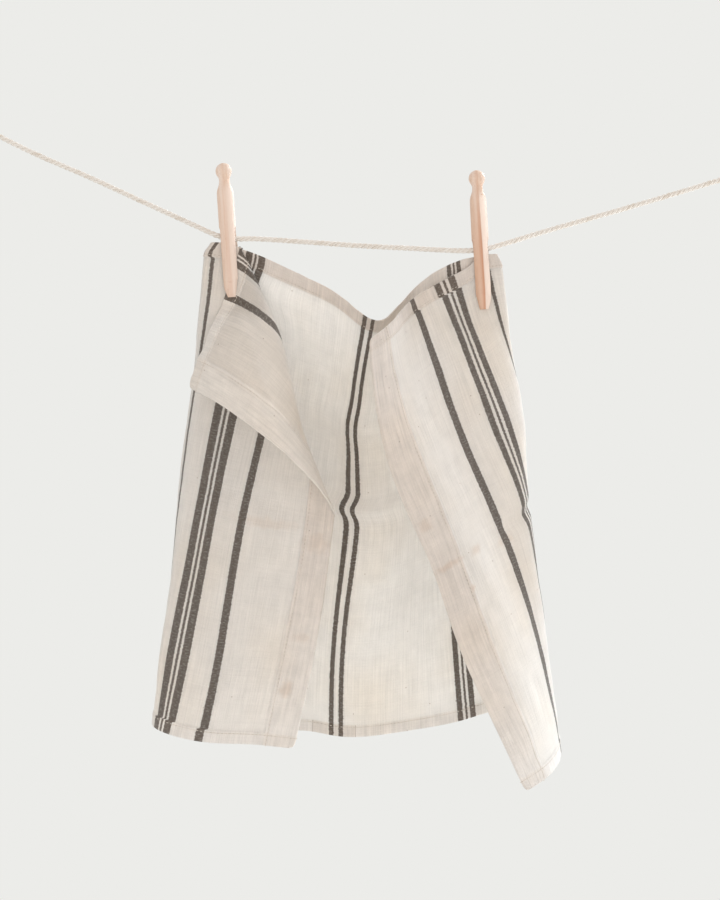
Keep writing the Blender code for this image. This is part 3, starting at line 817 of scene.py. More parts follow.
def all_stripes(board, place, uneven):
    """1 on the stripes, whose edges are a little uneven from one crossing thread to the next."""
    distance = board.calc("ABSOLUTE", board.calc("SUBTRACT", place, TOWEL_WIDTH / 2))
    distance = board.total(distance, board.level(uneven, 0.0, 1.0, -STRIPE_WAVER, STRIPE_WAVER))
    masks = [stripe_share(board, distance, stripe) for stripe in STRIPES]
    triple = [board.calc("ABSOLUTE", board.calc("SUBTRACT", distance, middle)) for middle in TRIPLES]
    near = board.calc("MINIMUM", *triple)
    right = board.calc("GREATER_THAN", place, TOWEL_WIDTH / 2)
    left = board.calc("SUBTRACT", 1.0, right)
    for group, half in ((TRIPLE_LEFT, left), (TRIPLE_RIGHT, right)):
        masks += [board.calc("MULTIPLY", stripe_share(board, near, stripe), half) for stripe in group]
    return board.total(*masks, operation="MAXIMUM")


def plain_cotton(board, choices, clouds, hem):
    """Undyed cloth of threads thick and thin, with painted shade of soft crumples, and of pleats and more
    crumples where it is doubled.
    """
    # painted shade of crumples, and in the hems of pleats
    soft = board.level(clouds["crumple_shade"], 0.25, 0.75, -0.035, 0.035)
    pleat_shade = board.level(clouds["pleats"], 0.25, 0.75, -0.07, 0.07)
    value = board.total(
        board.level(clouds["warp"], 0.25, 0.75, -0.075, 0.075),
        board.level(clouds["weft"], 0.25, 0.75, -0.03, 0.03),
        board.level(clouds["fine"], 0.25, 0.75, -0.03, 0.03),
        board.level(clouds["broad"], 0.3, 0.7, -0.03, 0.03),
        1.0,
        board.calc("MULTIPLY", board.calc("ADD", pleat_shade, soft), hem),
        soft,
    )
    plain = board.tint(1.0, choices.cream, board.vec(value, value, value))
    return board.tint(board.fade(clouds["broad"], 0.4, 0.8, 0.0, 0.35), plain, WARM_CLOUD)


def speck_share(board, flat):
    """How strongly the sparse brown specks of seed husk colour the cloth."""
    cells = board.node(
        "ShaderNodeTexVoronoi",
        {"Vector": flat, "Scale": 1 / SPECK_SPACING, "Randomness": 1.0},
        voronoi_dimensions="2D",
    )
    chosen = board.calc("GREATER_THAN", board.parts(cells.outputs["Color"])[0], SPECK_RARITY)
    near = board.fade(cells.outputs["Distance"], SPECK_REACH, SPECK_REACH / 3, 0.0, 0.55)
    return board.calc("MULTIPLY", near, chosen)


def stain_and_fold_shade_share(board, across, along, ragged):
    """How strongly the stains and the painted shade along the pressed fold colour the cloth, each edge a
    little ragged.
    """
    edge = board.level(ragged, 0.0, 1.0, -0.7, 0.7)
    spots = []
    for stain in STAINS_AND_FOLD_SHADE:
        aside = board.calc("DIVIDE", board.calc("SUBTRACT", across, float(stain.across)), stain.half_across)
        below = board.calc("DIVIDE", board.calc("SUBTRACT", along, float(stain.along)), stain.half_along)
        away = board.calc("ADD", board.vector("LENGTH", board.vec(aside, below)), edge)
        spots.append(board.fade(away, 1.3, 0.2, 0.0, stain.strength))
    return board.total(*spots, operation="MAXIMUM")


def shaded_doubled_cotton(board, shade, choices, hems, lapped, along):
    """Painted shade on the hems, where the doubled cloth lets less light through: weaker on the turned corner
    and towards the foot, where more light falls, and deeper where two hems cross.
    """
    hem_shade_share = board.total(
        hems.all,
        board.level(lapped, 0.0, 1.0, 0.9, 0.3),
        board.level(along, 250.0, 380.0, 1.0, 0.45),
        operation="MULTIPLY",
    )
    shade = board.tint(1.0, shade, board.mix(hem_shade_share, NO_TINT, choices.hem))
    return board.tint(board.calc("MULTIPLY", hems.both, 0.4), shade, DOUBLE_HEM_SHADE)


def shaded_foot_patch(board, shade, across, foot):
    """Painted shade on a doubled patch in the foot hem, where less light passes through, with a painted
    shadow at each end.
    """
    patch = board.total(
        foot,
        board.fade(across, *PATCH_START),
        board.fade(across, *reversed(PATCH_END)),
        operation="MULTIPLY",
    )
    shade = board.tint(board.calc("MULTIPLY", patch, 0.2), shade, PATCH_SHADE)
    shadows = [
        stripe_share(board, across, Stripe(sum(end) / 2, PATCH_SHADOW), SHADOW_SOFTNESS)
        for end in (PATCH_START, PATCH_END)
    ]
    ends = board.calc("MULTIPLY", board.total(*shadows, operation="MAXIMUM"), foot)
    return board.tint(board.calc("MULTIPLY", ends, 0.5), shade, PATCH_EDGE_SHADOW)


def seam_shadows(board, shade, hems, along, worn):
    """The shadow along each line of stitches, stronger and weaker along its way."""
    places = (
        (hems.from_side, SIDE_STITCH),
        (along, TOP_HEM - END_STITCH_IN),
        (hems.to_foot, BOTTOM_HEM - END_STITCH_IN),
    )
    lines = [
        stripe_share(board, distance, Stripe(stitch, SEAM_SHADOW), SHADOW_SOFTNESS)
        for distance, stitch in places
    ]
    seam = board.total(*lines, operation="MAXIMUM")
    seam = board.calc("MULTIPLY", seam, board.fade(worn, 0.35, 0.65, 0.15, 0.75))
    return board.tint(seam, shade, SEAM_SHADE)


def woven_relief(board, choices, clouds, hems, across, along):
    """Height of the threads, with ribs along the end hems and pleats in the side hems."""
    turn = 2 * math.pi / (choices.weave / MM)
    over = board.calc("SINE", board.calc("MULTIPLY", across, turn))
    under = board.calc("SINE", board.calc("MULTIPLY", along, turn))
    ribs = board.calc("SINE", board.calc("MULTIPLY", across, 2 * math.pi / HEM_RIB_PITCH))
    return board.total(
        board.calc("MULTIPLY", board.calc("MULTIPLY", over, under), 0.16),
        board.level(clouds["warp"], 0.2, 0.8, -0.5, 0.5),
        board.level(clouds["weft"], 0.2, 0.8, -0.3, 0.3),
        board.calc("MULTIPLY", board.calc("MULTIPLY", ribs, hems.end), 0.16),
        board.level(clouds["fine"], 0.2, 0.8, -0.35, 0.35),
        board.calc("MULTIPLY", board.level(clouds["pleats"], 0.25, 0.75, -0.8, 0.8), hems.side),
    )


def striped_cotton(choices):
    """Slubby cream cotton with woven charcoal stripes, read in the cloth's own flat coordinates."""
    look, board = empty_look("striped_cotton")
    flat = board.node("ShaderNodeUVMap", uv_map="flat").outputs["UV"]
    flat = board.vector("MULTIPLY", flat, (1 / MM, 1 / MM, 0.0))
    across, along, _ = board.parts(flat)
    turned = board.attribute("turned_side", "Fac")
    lapped = board.attribute("lapped", "Fac")
    clouds = {
        name: board.cloud(flat, (cloud.across, cloud.along, 0.0), cloud.detail, cloud.roughness)
        for name, cloud in CLOUDS.items()
    }
    hems = hem_shares(board, across, along)

    plain = plain_cotton(board, choices, clouds, hems.all)
    plain = board.mix(speck_share(board, flat), plain, HUSK)
    # stains, and painted shade along and under the pressed fold
    plain = board.tint(stain_and_fold_shade_share(board, across, along, clouds["stain_and_fold_shade_edge"]), plain, STAIN_AND_FOLD_SHADE)

    # Charcoal yarn crossed by pale weft, set aside a little where a hem is turned over
    shift = board.total(hems.end, turned, HEM_SHIFT, operation="MULTIPLY")
    striped = all_stripes(board, board.calc("SUBTRACT", across, shift), clouds["stripe_edge"])
    dark = board.mix(board.fade(clouds["crossing"], 0.46, 0.74, 0.0, 0.32), choices.charcoal, plain)
    dark = board.mix(board.fade(clouds["worn"], 0.38, 0.7, 0.0, 0.26), dark, WORN_CHARCOAL)
    shade = board.mix(striped, plain, dark)

    # painted shade of the doubled hems
    shade = shaded_doubled_cotton(board, shade, choices, hems, lapped, along)
    # painted shade of the patch in the foot hem
    shade = shaded_foot_patch(board, shade, across, hems.foot)
    shade = seam_shadows(board, shade, hems, along, clouds["seam"])
    # Painted shade on the turned corner: warmer and darker where cloth lies behind it.
    shade = board.tint(board.calc("MULTIPLY", lapped, 0.8), shade, LAPPED_SHADE)

    height = woven_relief(board, choices, clouds, hems, across, along)
    bump = board.node("ShaderNodeBump", {"Strength": 0.8, "Distance": 0.0003, "Height": height})
    normal = bump.outputs["Normal"]
    body = board.node(
        "ShaderNodeBsdfPrincipled",
        {
            "Base Color": shade,
            "Roughness": 0.92,
            "Specular IOR Level": 0.18,
            "Sheen Weight": 0.3,
            "Sheen Roughness": 0.6,
            "Normal": normal,
        },
    )
    warmed = board.tint(1.0, shade, choices.through)
    through = board.node("ShaderNodeBsdfTranslucent", {"Color": warmed, "Normal": normal})
    thin = board.total(
        board.calc("SUBTRACT", 1.0, board.calc("MULTIPLY", hems.all, 0.6)),
        board.calc("SUBTRACT", 1.0, board.calc("MULTIPLY", striped, 0.5)),
        choices.glow,
        operation="MULTIPLY",
    )
    surface = board.node("ShaderNodeMixShader", {0: thin, 1: body.outputs[0], 2: through.outputs[0]})
    close_look(board, surface.outputs[0])
    return look


# ---- Other materials ----
def sewing_thread(choices):
    """Mercerised cotton thread, its ply seen as a faint slant."""
    look, board = empty_look("sewing_thread")
    place = board.node("ShaderNodeTexCoord").outputs["Object"]
    ply = board.cloud(place, (2600.0, 900.0, 2600.0), 2.0)
    shade = board.mix(board.fade(ply, 0.3, 0.75), choices.thread, THREAD_PLY)
    bump = board.node("ShaderNodeBump", {"Strength": 0.5, "Distance": 0.0001, "Height": ply})
    body = board.node(
        "ShaderNodeBsdfPrincipled",
        {"Base Color": shade, "Roughness": 0.6, "Normal": bump.outputs["Normal"]},
    )
    close_look(board, body.outputs[0])
    return look


def lit_and_shaded_sides(board, shade, side, down, drift, wood):
    """Redder heart with painted shade on the left and a darker painted shade line at its edge, and a paler
    painted lit side along the right.
    """
    # Painted light: the right side paler where it faces the light; painted shade: the left redder.
    border = board.level(down, 20.0, 90.0, 0.3, 1.2)
    past = board.calc("SUBTRACT", board.calc("ADD", side, board.level(drift, 0, 1, -0.5, 0.5)), border)
    lit_side = board.fade(past, -wood.crispness, wood.crispness, 0.0, 0.8)
    lit_side = board.calc("MULTIPLY", lit_side, board.fade(down, 14.0, 26.0))
    heart = board.calc("SUBTRACT", 1.0, lit_side)
    red = board.total(heart, board.fade(down, 5.0, 80.0, 0.35, 1.0), wood.redness, operation="MULTIPLY")
    shade = board.tint(red, shade, HEART_AND_SHADE)
    line = board.calc("MULTIPLY", board.fade(past, -3.4, -0.6), board.fade(past, 0.6, -0.2))
    line = board.total(line, board.fade(down, 16.0, 60.0, 0.3, 1.0), wood.redness, operation="MULTIPLY")
    shade = board.tint(line, shade, SHADE_LINE)
    return board.mix(lit_side, shade, LIT_SIDE_WOOD)


def peg_wood(name, choices, wood):
    """Bare pale beech: straight grain and short dark flecks, with painted shade on the left and a paler
    painted lit side along the right.
    """
    look, board = empty_look(name)
    grain = board.vector("MULTIPLY", board.attribute("grain", "Vector"), (1 / MM, 1 / MM, 1 / MM))
    side, _, down = board.parts(grain)
    drift = board.cloud(grain, (0.1, 0.1, 0.02), 2.0)
    bent = board.vector("ADD", grain, board.vec(board.level(drift, 0, 1, -2.5, 2.5), 0.0, 0.0))
    bands = board.cloud(bent, (0.4, 0.12, 0.012), 3.0, 0.5)
    pores = board.cloud(bent, (4.2, 4.2, 0.22), 3.0, 0.7)
    flecks = board.cloud(bent, (2.4, 1.0, 0.34), 1.0)
    wear = board.cloud(grain, (0.16, 0.16, 0.07), 3.0)
    shade = board.mix(board.fade(bands, 0.3, 0.75, 0.1, 0.8), choices.pale, choices.warm)
    shade = board.mix(board.fade(pores, 0.52, 0.8, 0.0, 0.2), shade, PORE)
    shade = board.mix(board.fade(flecks, 0.66, 0.76, 0.0, 0.3), shade, FLECK)
    shade = board.mix(board.fade(wear, 0.5, 0.8, 0.0, 0.3), shade, RUBBED_WOOD)
    shade = lit_and_shaded_sides(board, shade, side, down, drift, wood)
    height = board.total(board.calc("MULTIPLY", pores, -0.5), board.calc("MULTIPLY", bands, 0.25))
    bump = board.node("ShaderNodeBump", {"Strength": 0.45, "Distance": 0.00025, "Height": height})
    body = board.node(
        "ShaderNodeBsdfPrincipled",
        {
            "Base Color": shade,
            "Roughness": board.level(bands, 0.2, 0.8, 0.5, 0.68),
            "Specular IOR Level": 0.35,
            "Normal": bump.outputs["Normal"],
        },
    )
    close_look(board, body.outputs[0])
    return look


def laid_cotton(name, cotton, yarns, yarn_pitch, radius):
    """Strand of twisted cotton yarns with painted shade in the grooves between them, read along and around
    the strand.
    """
    look, board = empty_look(name)
    along = board.calc("MULTIPLY", board.attribute("along", "Fac"), 1 / MM)
    ring = board.parts(board.attribute("around", "Vector"))
    strand = board.attribute("strand", "Fac")
    around = board.calc("ARCTAN2", ring[1], ring[0])
    place = board.vec(
        board.calc("MULTIPLY", ring[0], radius),
        board.calc("MULTIPLY", ring[1], radius),
        board.calc("ADD", along, board.calc("MULTIPLY", strand, STRAND_SHIFT)),
    )
    lay = board.calc("MULTIPLY", along, 2 * math.pi / yarn_pitch)
    phase = board.total(board.calc("MULTIPLY", around, float(yarns)), lay)
    wobble = board.cloud(place, (0.5, 0.5, 0.25), 2.0)
    phase = board.calc("ADD", phase, board.calc("MULTIPLY", wobble, 5.0))
    ridge = board.level(board.calc("SINE", phase), -1.0, 1.0, 0.0, 1.0)
    fuzz = board.cloud(place, (2.2, 2.2, 1.4), 3.0, 0.7)
    stain = board.cloud(place, (0.05, 0.05, 0.04), 2.0)
    # painted shade in the grooves between the yarns
    shade = board.mix(board.fade(ridge, 0.05, 0.6, 0.35, 0.0), cotton, YARN_GROOVE_SHADE)
    shade = board.mix(board.fade(fuzz, 0.5, 0.8, 0.0, 0.3), shade, YARN_FUZZ)
    shade = board.tint(board.fade(stain, 0.45, 0.7, 0.0, 0.5), shade, LINE_STAIN)
    height = board.total(board.calc("MULTIPLY", ridge, 0.7), board.calc("MULTIPLY", fuzz, 0.5))
    bump = board.node("ShaderNodeBump", {"Strength": 0.75, "Distance": 0.00022, "Height": height})
    body = board.node(
        "ShaderNodeBsdfPrincipled",
        {
            "Base Color": shade,
            "Roughness": 0.9,
            "Specular IOR Level": 0.2,
            "Sheen Weight": 0.15,
            "Normal": bump.outputs["Normal"],
        },
    )
    close_look(board, body.outputs[0])
    return look


def pale_floor(backdrop):
    """Matt floor, its shade a little cloudy."""
    look, board = empty_look("pale_floor")
    place = board.node("ShaderNodeTexCoord").outputs["Object"]
    shade = board.mix(board.cloud(place, (2.0, 2.0, 2.0)), backdrop, FLOOR_CLOUD)
    body = board.node("ShaderNodeBsdfPrincipled", {"Base Color": shade, "Roughness": 0.85})
    close_look(board, body.outputs[0])
    return look


def studio_air(choices):
    """Even pale backdrop, whose light is stronger from behind the towel than from the viewer's side."""
    world = bpy.data.worlds.new("studio_air")
    world.use_nodes = True
    world.node_tree.nodes.clear()
    board = Board(world.node_tree)
    depth = board.parts(board.node("ShaderNodeTexCoord").outputs["Generated"])[1]
    strength = board.fade(depth, -0.7, 0.7, choices.air_front, choices.air_back)
    shade = board.mix(board.fade(depth, -0.7, 0.7), ROOM_LIGHT, BACK_LIGHT)
    light = board.node("ShaderNodeBackground", {"Color": shade, "Strength": strength})
    seen = board.node("ShaderNodeBackground", {"Color": with_alpha(choices.backdrop)})
    looked_at = board.node("ShaderNodeLightPath").outputs["Is Camera Ray"]
    mixed = board.node("ShaderNodeMixShader", {0: looked_at, 1: light.outputs[0], 2: seen.outputs[0]})
    board.node("ShaderNodeOutputWorld", {"Surface": mixed.outputs[0]})
    return world


# ---- Meshes ----
def row_points(points):
    """Points in table millimetres as points of the model in metres."""
    return (np.asarray(points) - ORIGIN) * MM


def link_mesh(name, mesh, look=None):
    """A new object in the scene that shows the mesh."""
    made = bpy.data.objects.new(name, mesh)
    bpy.context.scene.collection.objects.link(made)
    if look is not None:
        mesh.materials.append(look)
    return made


def shape_mesh(name, points, faces, edges=()):
    """A new mesh of points in metres."""
    mesh = bpy.data.meshes.new(name)
    mesh.from_pydata(np.asarray(points, float).tolist(), list(edges), faces)
    mesh.validate()
    return mesh


def face_outwards(mesh):
    """Turn every face of a closed mesh outwards."""
    shape = bmesh.new()
    shape.from_mesh(mesh)
    bmesh.ops.recalc_face_normals(shape, faces=shape.faces)
    shape.to_mesh(mesh)
    shape.free()


def give_attribute(mesh, name, kind, values):
    """Store one value for each point of the mesh."""
    key = "value" if kind == "FLOAT" else "vector"
    mesh.attributes.new(name, kind, "POINT").data.foreach_set(key, np.asarray(values, float).ravel())


def plain_mesh(source, name):
    """What the object looks like with its modifiers, as a mesh of its own; the source is removed."""
    bpy.context.view_layer.update()
    found = source.evaluated_get(bpy.context.evaluated_depsgraph_get())
    mesh = bpy.data.meshes.new_from_object(found)
    mesh.name = name
    bpy.data.objects.remove(source)
    return mesh


def grow(source, tree, values, name):
    """Run a node tree on the object with the given named inputs and return the plain mesh."""
    modifier = source.modifiers.new(tree.name, "NODES")
    modifier.node_group = tree
    for item in tree.interface.items_tree:
        if item.item_type == "SOCKET" and item.in_out == "INPUT" and item.name in values:
            modifier[item.identifier] = values[item.name]
    return plain_mesh(source, name)


def joined_mesh(name, meshes):
    """Several meshes as one, their attributes kept."""
    parts = [link_mesh(name + "_part", mesh) for mesh in meshes]
    with bpy.context.temp_override(active_object=parts[0], selected_editable_objects=parts):
        bpy.ops.object.join()
    mesh = parts[0].data
    bpy.data.objects.remove(parts[0])
    return mesh


# ---- Node trees that follow a path ----
def path_tree(name, choices):
    """A tree with a geometry input and output and named inputs; returns it, its board and its inputs."""
    tree = bpy.data.node_groups.new(name, "GeometryNodeTree")
    tree.interface.new_socket("Geometry", in_out="INPUT", socket_type="NodeSocketGeometry")
    for label, kind in choices:
        tree.interface.new_socket(label, in_out="INPUT", socket_type="NodeSocket" + kind)
    tree.interface.new_socket("Geometry", in_out="OUTPUT", socket_type="NodeSocketGeometry")
    board = Board(tree)
    return tree, board, board.node("NodeGroupInput").outputs


def close_tree(board, geometry, look):
    """Smooth, realise and dress the geometry, and join it to the output."""
    smooth = board.node("GeometryNodeSetShadeSmooth", {"Geometry": geometry})
    real = board.node("GeometryNodeRealizeInstances", {"Geometry": smooth.outputs[0]})
    dressed = board.node("GeometryNodeSetMaterial", {"Geometry": real.outputs[0], "Material": look})
    board.node("NodeGroupOutput", {0: dressed.outputs[0]})


def store(board, geometry, name, value, kind="FLOAT"):
    """The geometry with a named value on each of its points."""
    made = board.node(
        "GeometryNodeStoreNamedAttribute",
        {"Geometry": geometry, "Name": name, "Value": value},
        data_type=kind, domain="POINT",
    )
    return made.outputs[0]


def laid_strands_tree():
    """Strands wound round a path that lies in an upright plane."""
    tree, board, given = path_tree("laid_strands", (
        ("Step", "Float"), ("Strands", "Int"), ("Pitch", "Float"), ("Offset", "Float"),
        ("Radius", "Float"), ("Sides", "Int"), ("Caps", "Bool"), ("Material", "Material"),
    ))
    curve = board.node("GeometryNodeMeshToCurve", {"Mesh": given["Geometry"]})
    even = board.node(
        "GeometryNodeResampleCurve", {"Curve": curve.outputs[0], "Length": given["Step"]}, mode="LENGTH"
    )
    length = board.node("GeometryNodeSplineParameter").outputs["Length"]
    path = store(board, even.outputs[0], "along", length)
    copies = board.node(
        "GeometryNodeDuplicateElements", {"Geometry": path, "Amount": given["Strands"]}, domain="SPLINE"
    )
    index = copies.outputs["Duplicate Index"]
    strands = store(board, copies.outputs["Geometry"], "strand", index)
    tangent = board.node("GeometryNodeInputTangent").outputs[0]
    aside = board.vector("CROSS_PRODUCT", tuple(DEPTHWISE), tangent)
    turn = board.calc(
        "SUBTRACT",
        board.calc("DIVIDE", index, given["Strands"]),
        board.calc("DIVIDE", length, given["Pitch"]),
    )
    turn = board.calc("MULTIPLY", turn, 2 * math.pi)
    sideways = board.node(
        "ShaderNodeVectorMath", {0: aside, "Scale": board.calc("COSINE", turn)}, operation="SCALE"
    )
    depth = board.vec(0.0, board.calc("SINE", turn), 0.0)
    away = board.node(
        "ShaderNodeVectorMath",
        {0: board.vector("ADD", sideways.outputs[0], depth), "Scale": given["Offset"]},
        operation="SCALE",
    )
    wound = board.node("GeometryNodeSetPosition", {"Geometry": strands, "Offset": away.outputs[0]})
    profile = board.node(
        "GeometryNodeCurvePrimitiveCircle",
        {"Resolution": given["Sides"], "Radius": given["Radius"]}, mode="RADIUS",
    )
    share = board.calc("MULTIPLY", board.node("GeometryNodeSplineParameter").outputs["Factor"], 2 * math.pi)
    ring = board.vec(board.calc("COSINE", share), board.calc("SINE", share), 0.0)
    marked = store(board, profile.outputs["Curve"], "around", ring, "FLOAT_VECTOR")
    tube = board.node(
        "GeometryNodeCurveToMesh",
        {"Curve": wound.outputs[0], "Profile Curve": marked, "Fill Caps": given["Caps"]},
    )
    close_tree(board, tube.outputs[0], given["Material"])
    return tree


def stitch_tree():
    """A short rounded stitch at every step along a seam, lying on the cloth."""
    tree, board, given = path_tree("running_stitches", (
        ("Spacing", "Float"), ("Length", "Float"), ("Width", "Float"), ("Material", "Material"),
    ))
    curve = board.node("GeometryNodeMeshToCurve", {"Mesh": given["Geometry"]})
    even = board.node(
        "GeometryNodeResampleCurve", {"Curve": curve.outputs[0], "Length": given["Spacing"]}, mode="LENGTH"
    )
    bead = board.node("GeometryNodeMeshUVSphere", {"Segments": 6, "Rings": 4, "Radius": 0.5})
    tangent = board.node("GeometryNodeInputTangent").outputs[0]
    facing = board.node(
        "GeometryNodeInputNamedAttribute", {"Name": "facing"}, data_type="FLOAT_VECTOR"
    ).outputs["Attribute"]
    ahead = board.node("FunctionNodeAlignRotationToVector", {"Vector": tangent}, axis="X")
    upright = board.node(
        "FunctionNodeAlignRotationToVector",
        {"Rotation": ahead.outputs[0], "Vector": facing}, axis="Z", pivot_axis="X",
    )
    size = board.vec(given["Length"], given["Width"], board.calc("MULTIPLY", given["Width"], STITCH_FLATNESS))
    placed = board.node(
        "GeometryNodeInstanceOnPoints",
        {
            "Points": even.outputs[0],
            "Instance": bead.outputs["Mesh"],
            "Rotation": upright.outputs[0],
            "Scale": size,
        },
    )
    close_tree(board, placed.outputs[0], given["Material"])
    return tree


# ---- Cloth ----
def keep_apart(shares, fine, least):
    """`fine` with those of `shares` that lie further than `least` from all of them, in order."""
    kept = [share for share in shares if min(abs(share - other) for other in fine) > least]
    return np.array(sorted(set(fine) | set(kept)))


def cloth_grid():
    """Places of the grid's lines across and along, with the corner's fold running through its crossings."""
    from_edge = list(EDGE_LINES) + [SIDE_STITCH + line for line in SEAM_LINES]
    top = list(EDGE_LINES) + [TOP_HEM - END_STITCH_IN + line for line in SEAM_LINES]
    foot = list(EDGE_LINES) + [BOTTOM_HEM - END_STITCH_IN + line for line in SEAM_LINES]
    fine = [place / TURN_ACROSS for place in from_edge] + [1 - place / TURN_ALONG for place in top]
    corner = keep_apart(np.linspace(0, 1, TURN_LINES), fine, LEAST_CELL)
    right = [TOWEL_WIDTH - place for place in from_edge]
    rest = keep_apart(np.linspace(TURN_ACROSS, TOWEL_WIDTH, OPEN_COLUMNS + 1)[1:], right, LEAST_GAP)
    columns = np.concatenate((corner * TURN_ACROSS, rest))
    lower = [TOWEL_LENGTH - place for place in foot]
    rest = keep_apart(np.linspace(TURN_ALONG, TOWEL_LENGTH, OPEN_ROWS + 1)[1:], lower, LEAST_GAP)
    rows = np.concatenate(((1 - corner[::-1]) * TURN_ALONG, rest))
    return columns, rows


def ripple(wave, across, along, share=1.0):
    """Height of a wave, or of a share of it, at one place of the flat cloth."""
    spot = Vector((across / wave.length_across, along / wave.length_along, wave.seed))
    return wave.height * share * noise.noise(spot)


def unevenness(columns, rows):
    """How far the cloth stands off its smooth form at each crossing of the grid."""
    relief = np.array([[sum(ripple(wave, x, y) for wave in WAVES) for y in rows] for x in columns])
    side = np.minimum(columns, TOWEL_WIDTH - columns)
    reach = np.exp(-((side - SIDE_STITCH) / PUCKER_REACH) ** 2)
    for i in np.flatnonzero(reach > LEAST_PUCKER):
        relief[i] += [ripple(PUCKER, columns[i], along, reach[i]) for along in rows]
    reach = np.exp(-(rows / TOP_PUCKER_REACH) ** 2)
    for j in np.flatnonzero(reach > LEAST_PUCKER):
        relief[:, j] += [ripple(TOP_PUCKER, across, rows[j], reach[j]) for across in columns]
    for wrinkle in WRINKLES:
        start = np.array((wrinkle.across_a, wrinkle.along_a), float)
        run = np.array((wrinkle.across_b, wrinkle.along_b)) - start
        length = np.hypot(*run)
        run = run / length
        across = columns[:, None] - start[0]
        along = rows[None, :] - start[1]
        beside = np.abs(along * run[0] - across * run[1]) / wrinkle.half_width
        middle = (across * run[0] + along * run[1]) / length * 2 - 1
        relief += wrinkle.height * np.exp(-beside ** wrinkle.power - WRINKLE_FADE * middle ** 4)
    return relief


def hem_share(columns, rows):
    """1 where the hem is turned, with a narrow step at its inner edge."""
    side = np.minimum(columns, TOWEL_WIDTH - columns)[:, None]
    top = rows[None, :]
    foot = TOWEL_LENGTH - top
    shares = [
        soft_step((edge - place) / HEM_TURN + 0.5)
        for edge, place in ((SIDE_HEM, side), (TOP_HEM, top), (BOTTOM_HEM, foot))
    ]
    return np.maximum(np.maximum(shares[0], shares[1]), shares[2])


def seam_sink(columns, rows):
    """How far the stitching pulls the cloth in."""
    side = np.minimum(columns, TOWEL_WIDTH - columns)[:, None] - SIDE_STITCH
    top = rows[None, :] - (TOP_HEM - END_STITCH_IN)
    foot = TOWEL_LENGTH - rows[None, :] - (BOTTOM_HEM - END_STITCH_IN)
    pulls = [np.exp(-(place / SEAM_SINK_WIDTH) ** 2) for place in (side, top, foot)]
    return SEAM_SINK * np.maximum(np.maximum(pulls[0], pulls[1]), pulls[2])


def edge_share(columns, rows):
    """Share of its thickness that the cloth has left near its edges, which are rounded."""
    side = np.interp(np.minimum(columns, TOWEL_WIDTH - columns), EDGE_LINES, EDGE_SHARES)
    end = np.interp(np.minimum(rows, TOWEL_LENGTH - rows), EDGE_LINES, EDGE_SHARES)
    return np.minimum(side[:, None], end[None, :])


def surface_normals(points, columns, rows):
    """Direction in which the cloth faces at each crossing."""
    normal = np.cross(np.gradient(points, columns, axis=0), np.gradient(points, rows, axis=1))
    return normal / np.linalg.norm(normal, axis=2)[..., None]


def round_corners(points, columns, rows):
    """Draw the towel's four corners in to a small round."""
    kept = points.copy()
    for i in np.flatnonzero(np.minimum(columns, TOWEL_WIDTH - columns) < CORNER_ROUND):
        for j in np.flatnonzero(np.minimum(rows, TOWEL_LENGTH - rows) < CORNER_ROUND):
            inner = np.array((
                CORNER_ROUND if columns[i] < TOWEL_WIDTH / 2 else TOWEL_WIDTH - CORNER_ROUND,
                CORNER_ROUND if rows[j] < TOWEL_LENGTH / 2 else TOWEL_LENGTH - CORNER_ROUND,
            ))
            away = np.array((columns[i], rows[j])) - inner
            place = inner + away * np.abs(away).max() / max(np.hypot(*away), ON_THE_FOLD)
            line = np.array([[np.interp(place[1], rows, part) for part in column.T] for column in kept])
            points[i, j] = [np.interp(place[0], columns, part) for part in line.T]


def cloth_faces(choices):
    """Both faces of the cloth as grids of points in table millimetres, and the way it faces."""
    columns, rows = cloth_grid()
    middle = sheet(columns, rows)
    for i in np.flatnonzero(columns < TURN_ACROSS):
        above = rows < turn_along(columns[i]) - ON_THE_FOLD
        if above.any():
            middle[i, above] = turned_corner(columns[i], rows[above])
    round_corners(middle, columns, rows)
    facing = surface_normals(middle, columns, rows)
    middle = middle + facing * unevenness(columns, rows)[..., None]
    facing = surface_normals(middle, columns, rows)
    layer = choices.thickness / MM
    sink = seam_sink(columns, rows)
    rounding = edge_share(columns, rows)
    outer = (layer / 2 + layer * hem_share(columns, rows) - sink) * rounding
    inner = (layer / 2 - sink / 2) * rounding
    outside = middle + facing * outer[..., None]
    inside = middle - facing * inner[..., None]
    return columns, rows, outside, inside, facing


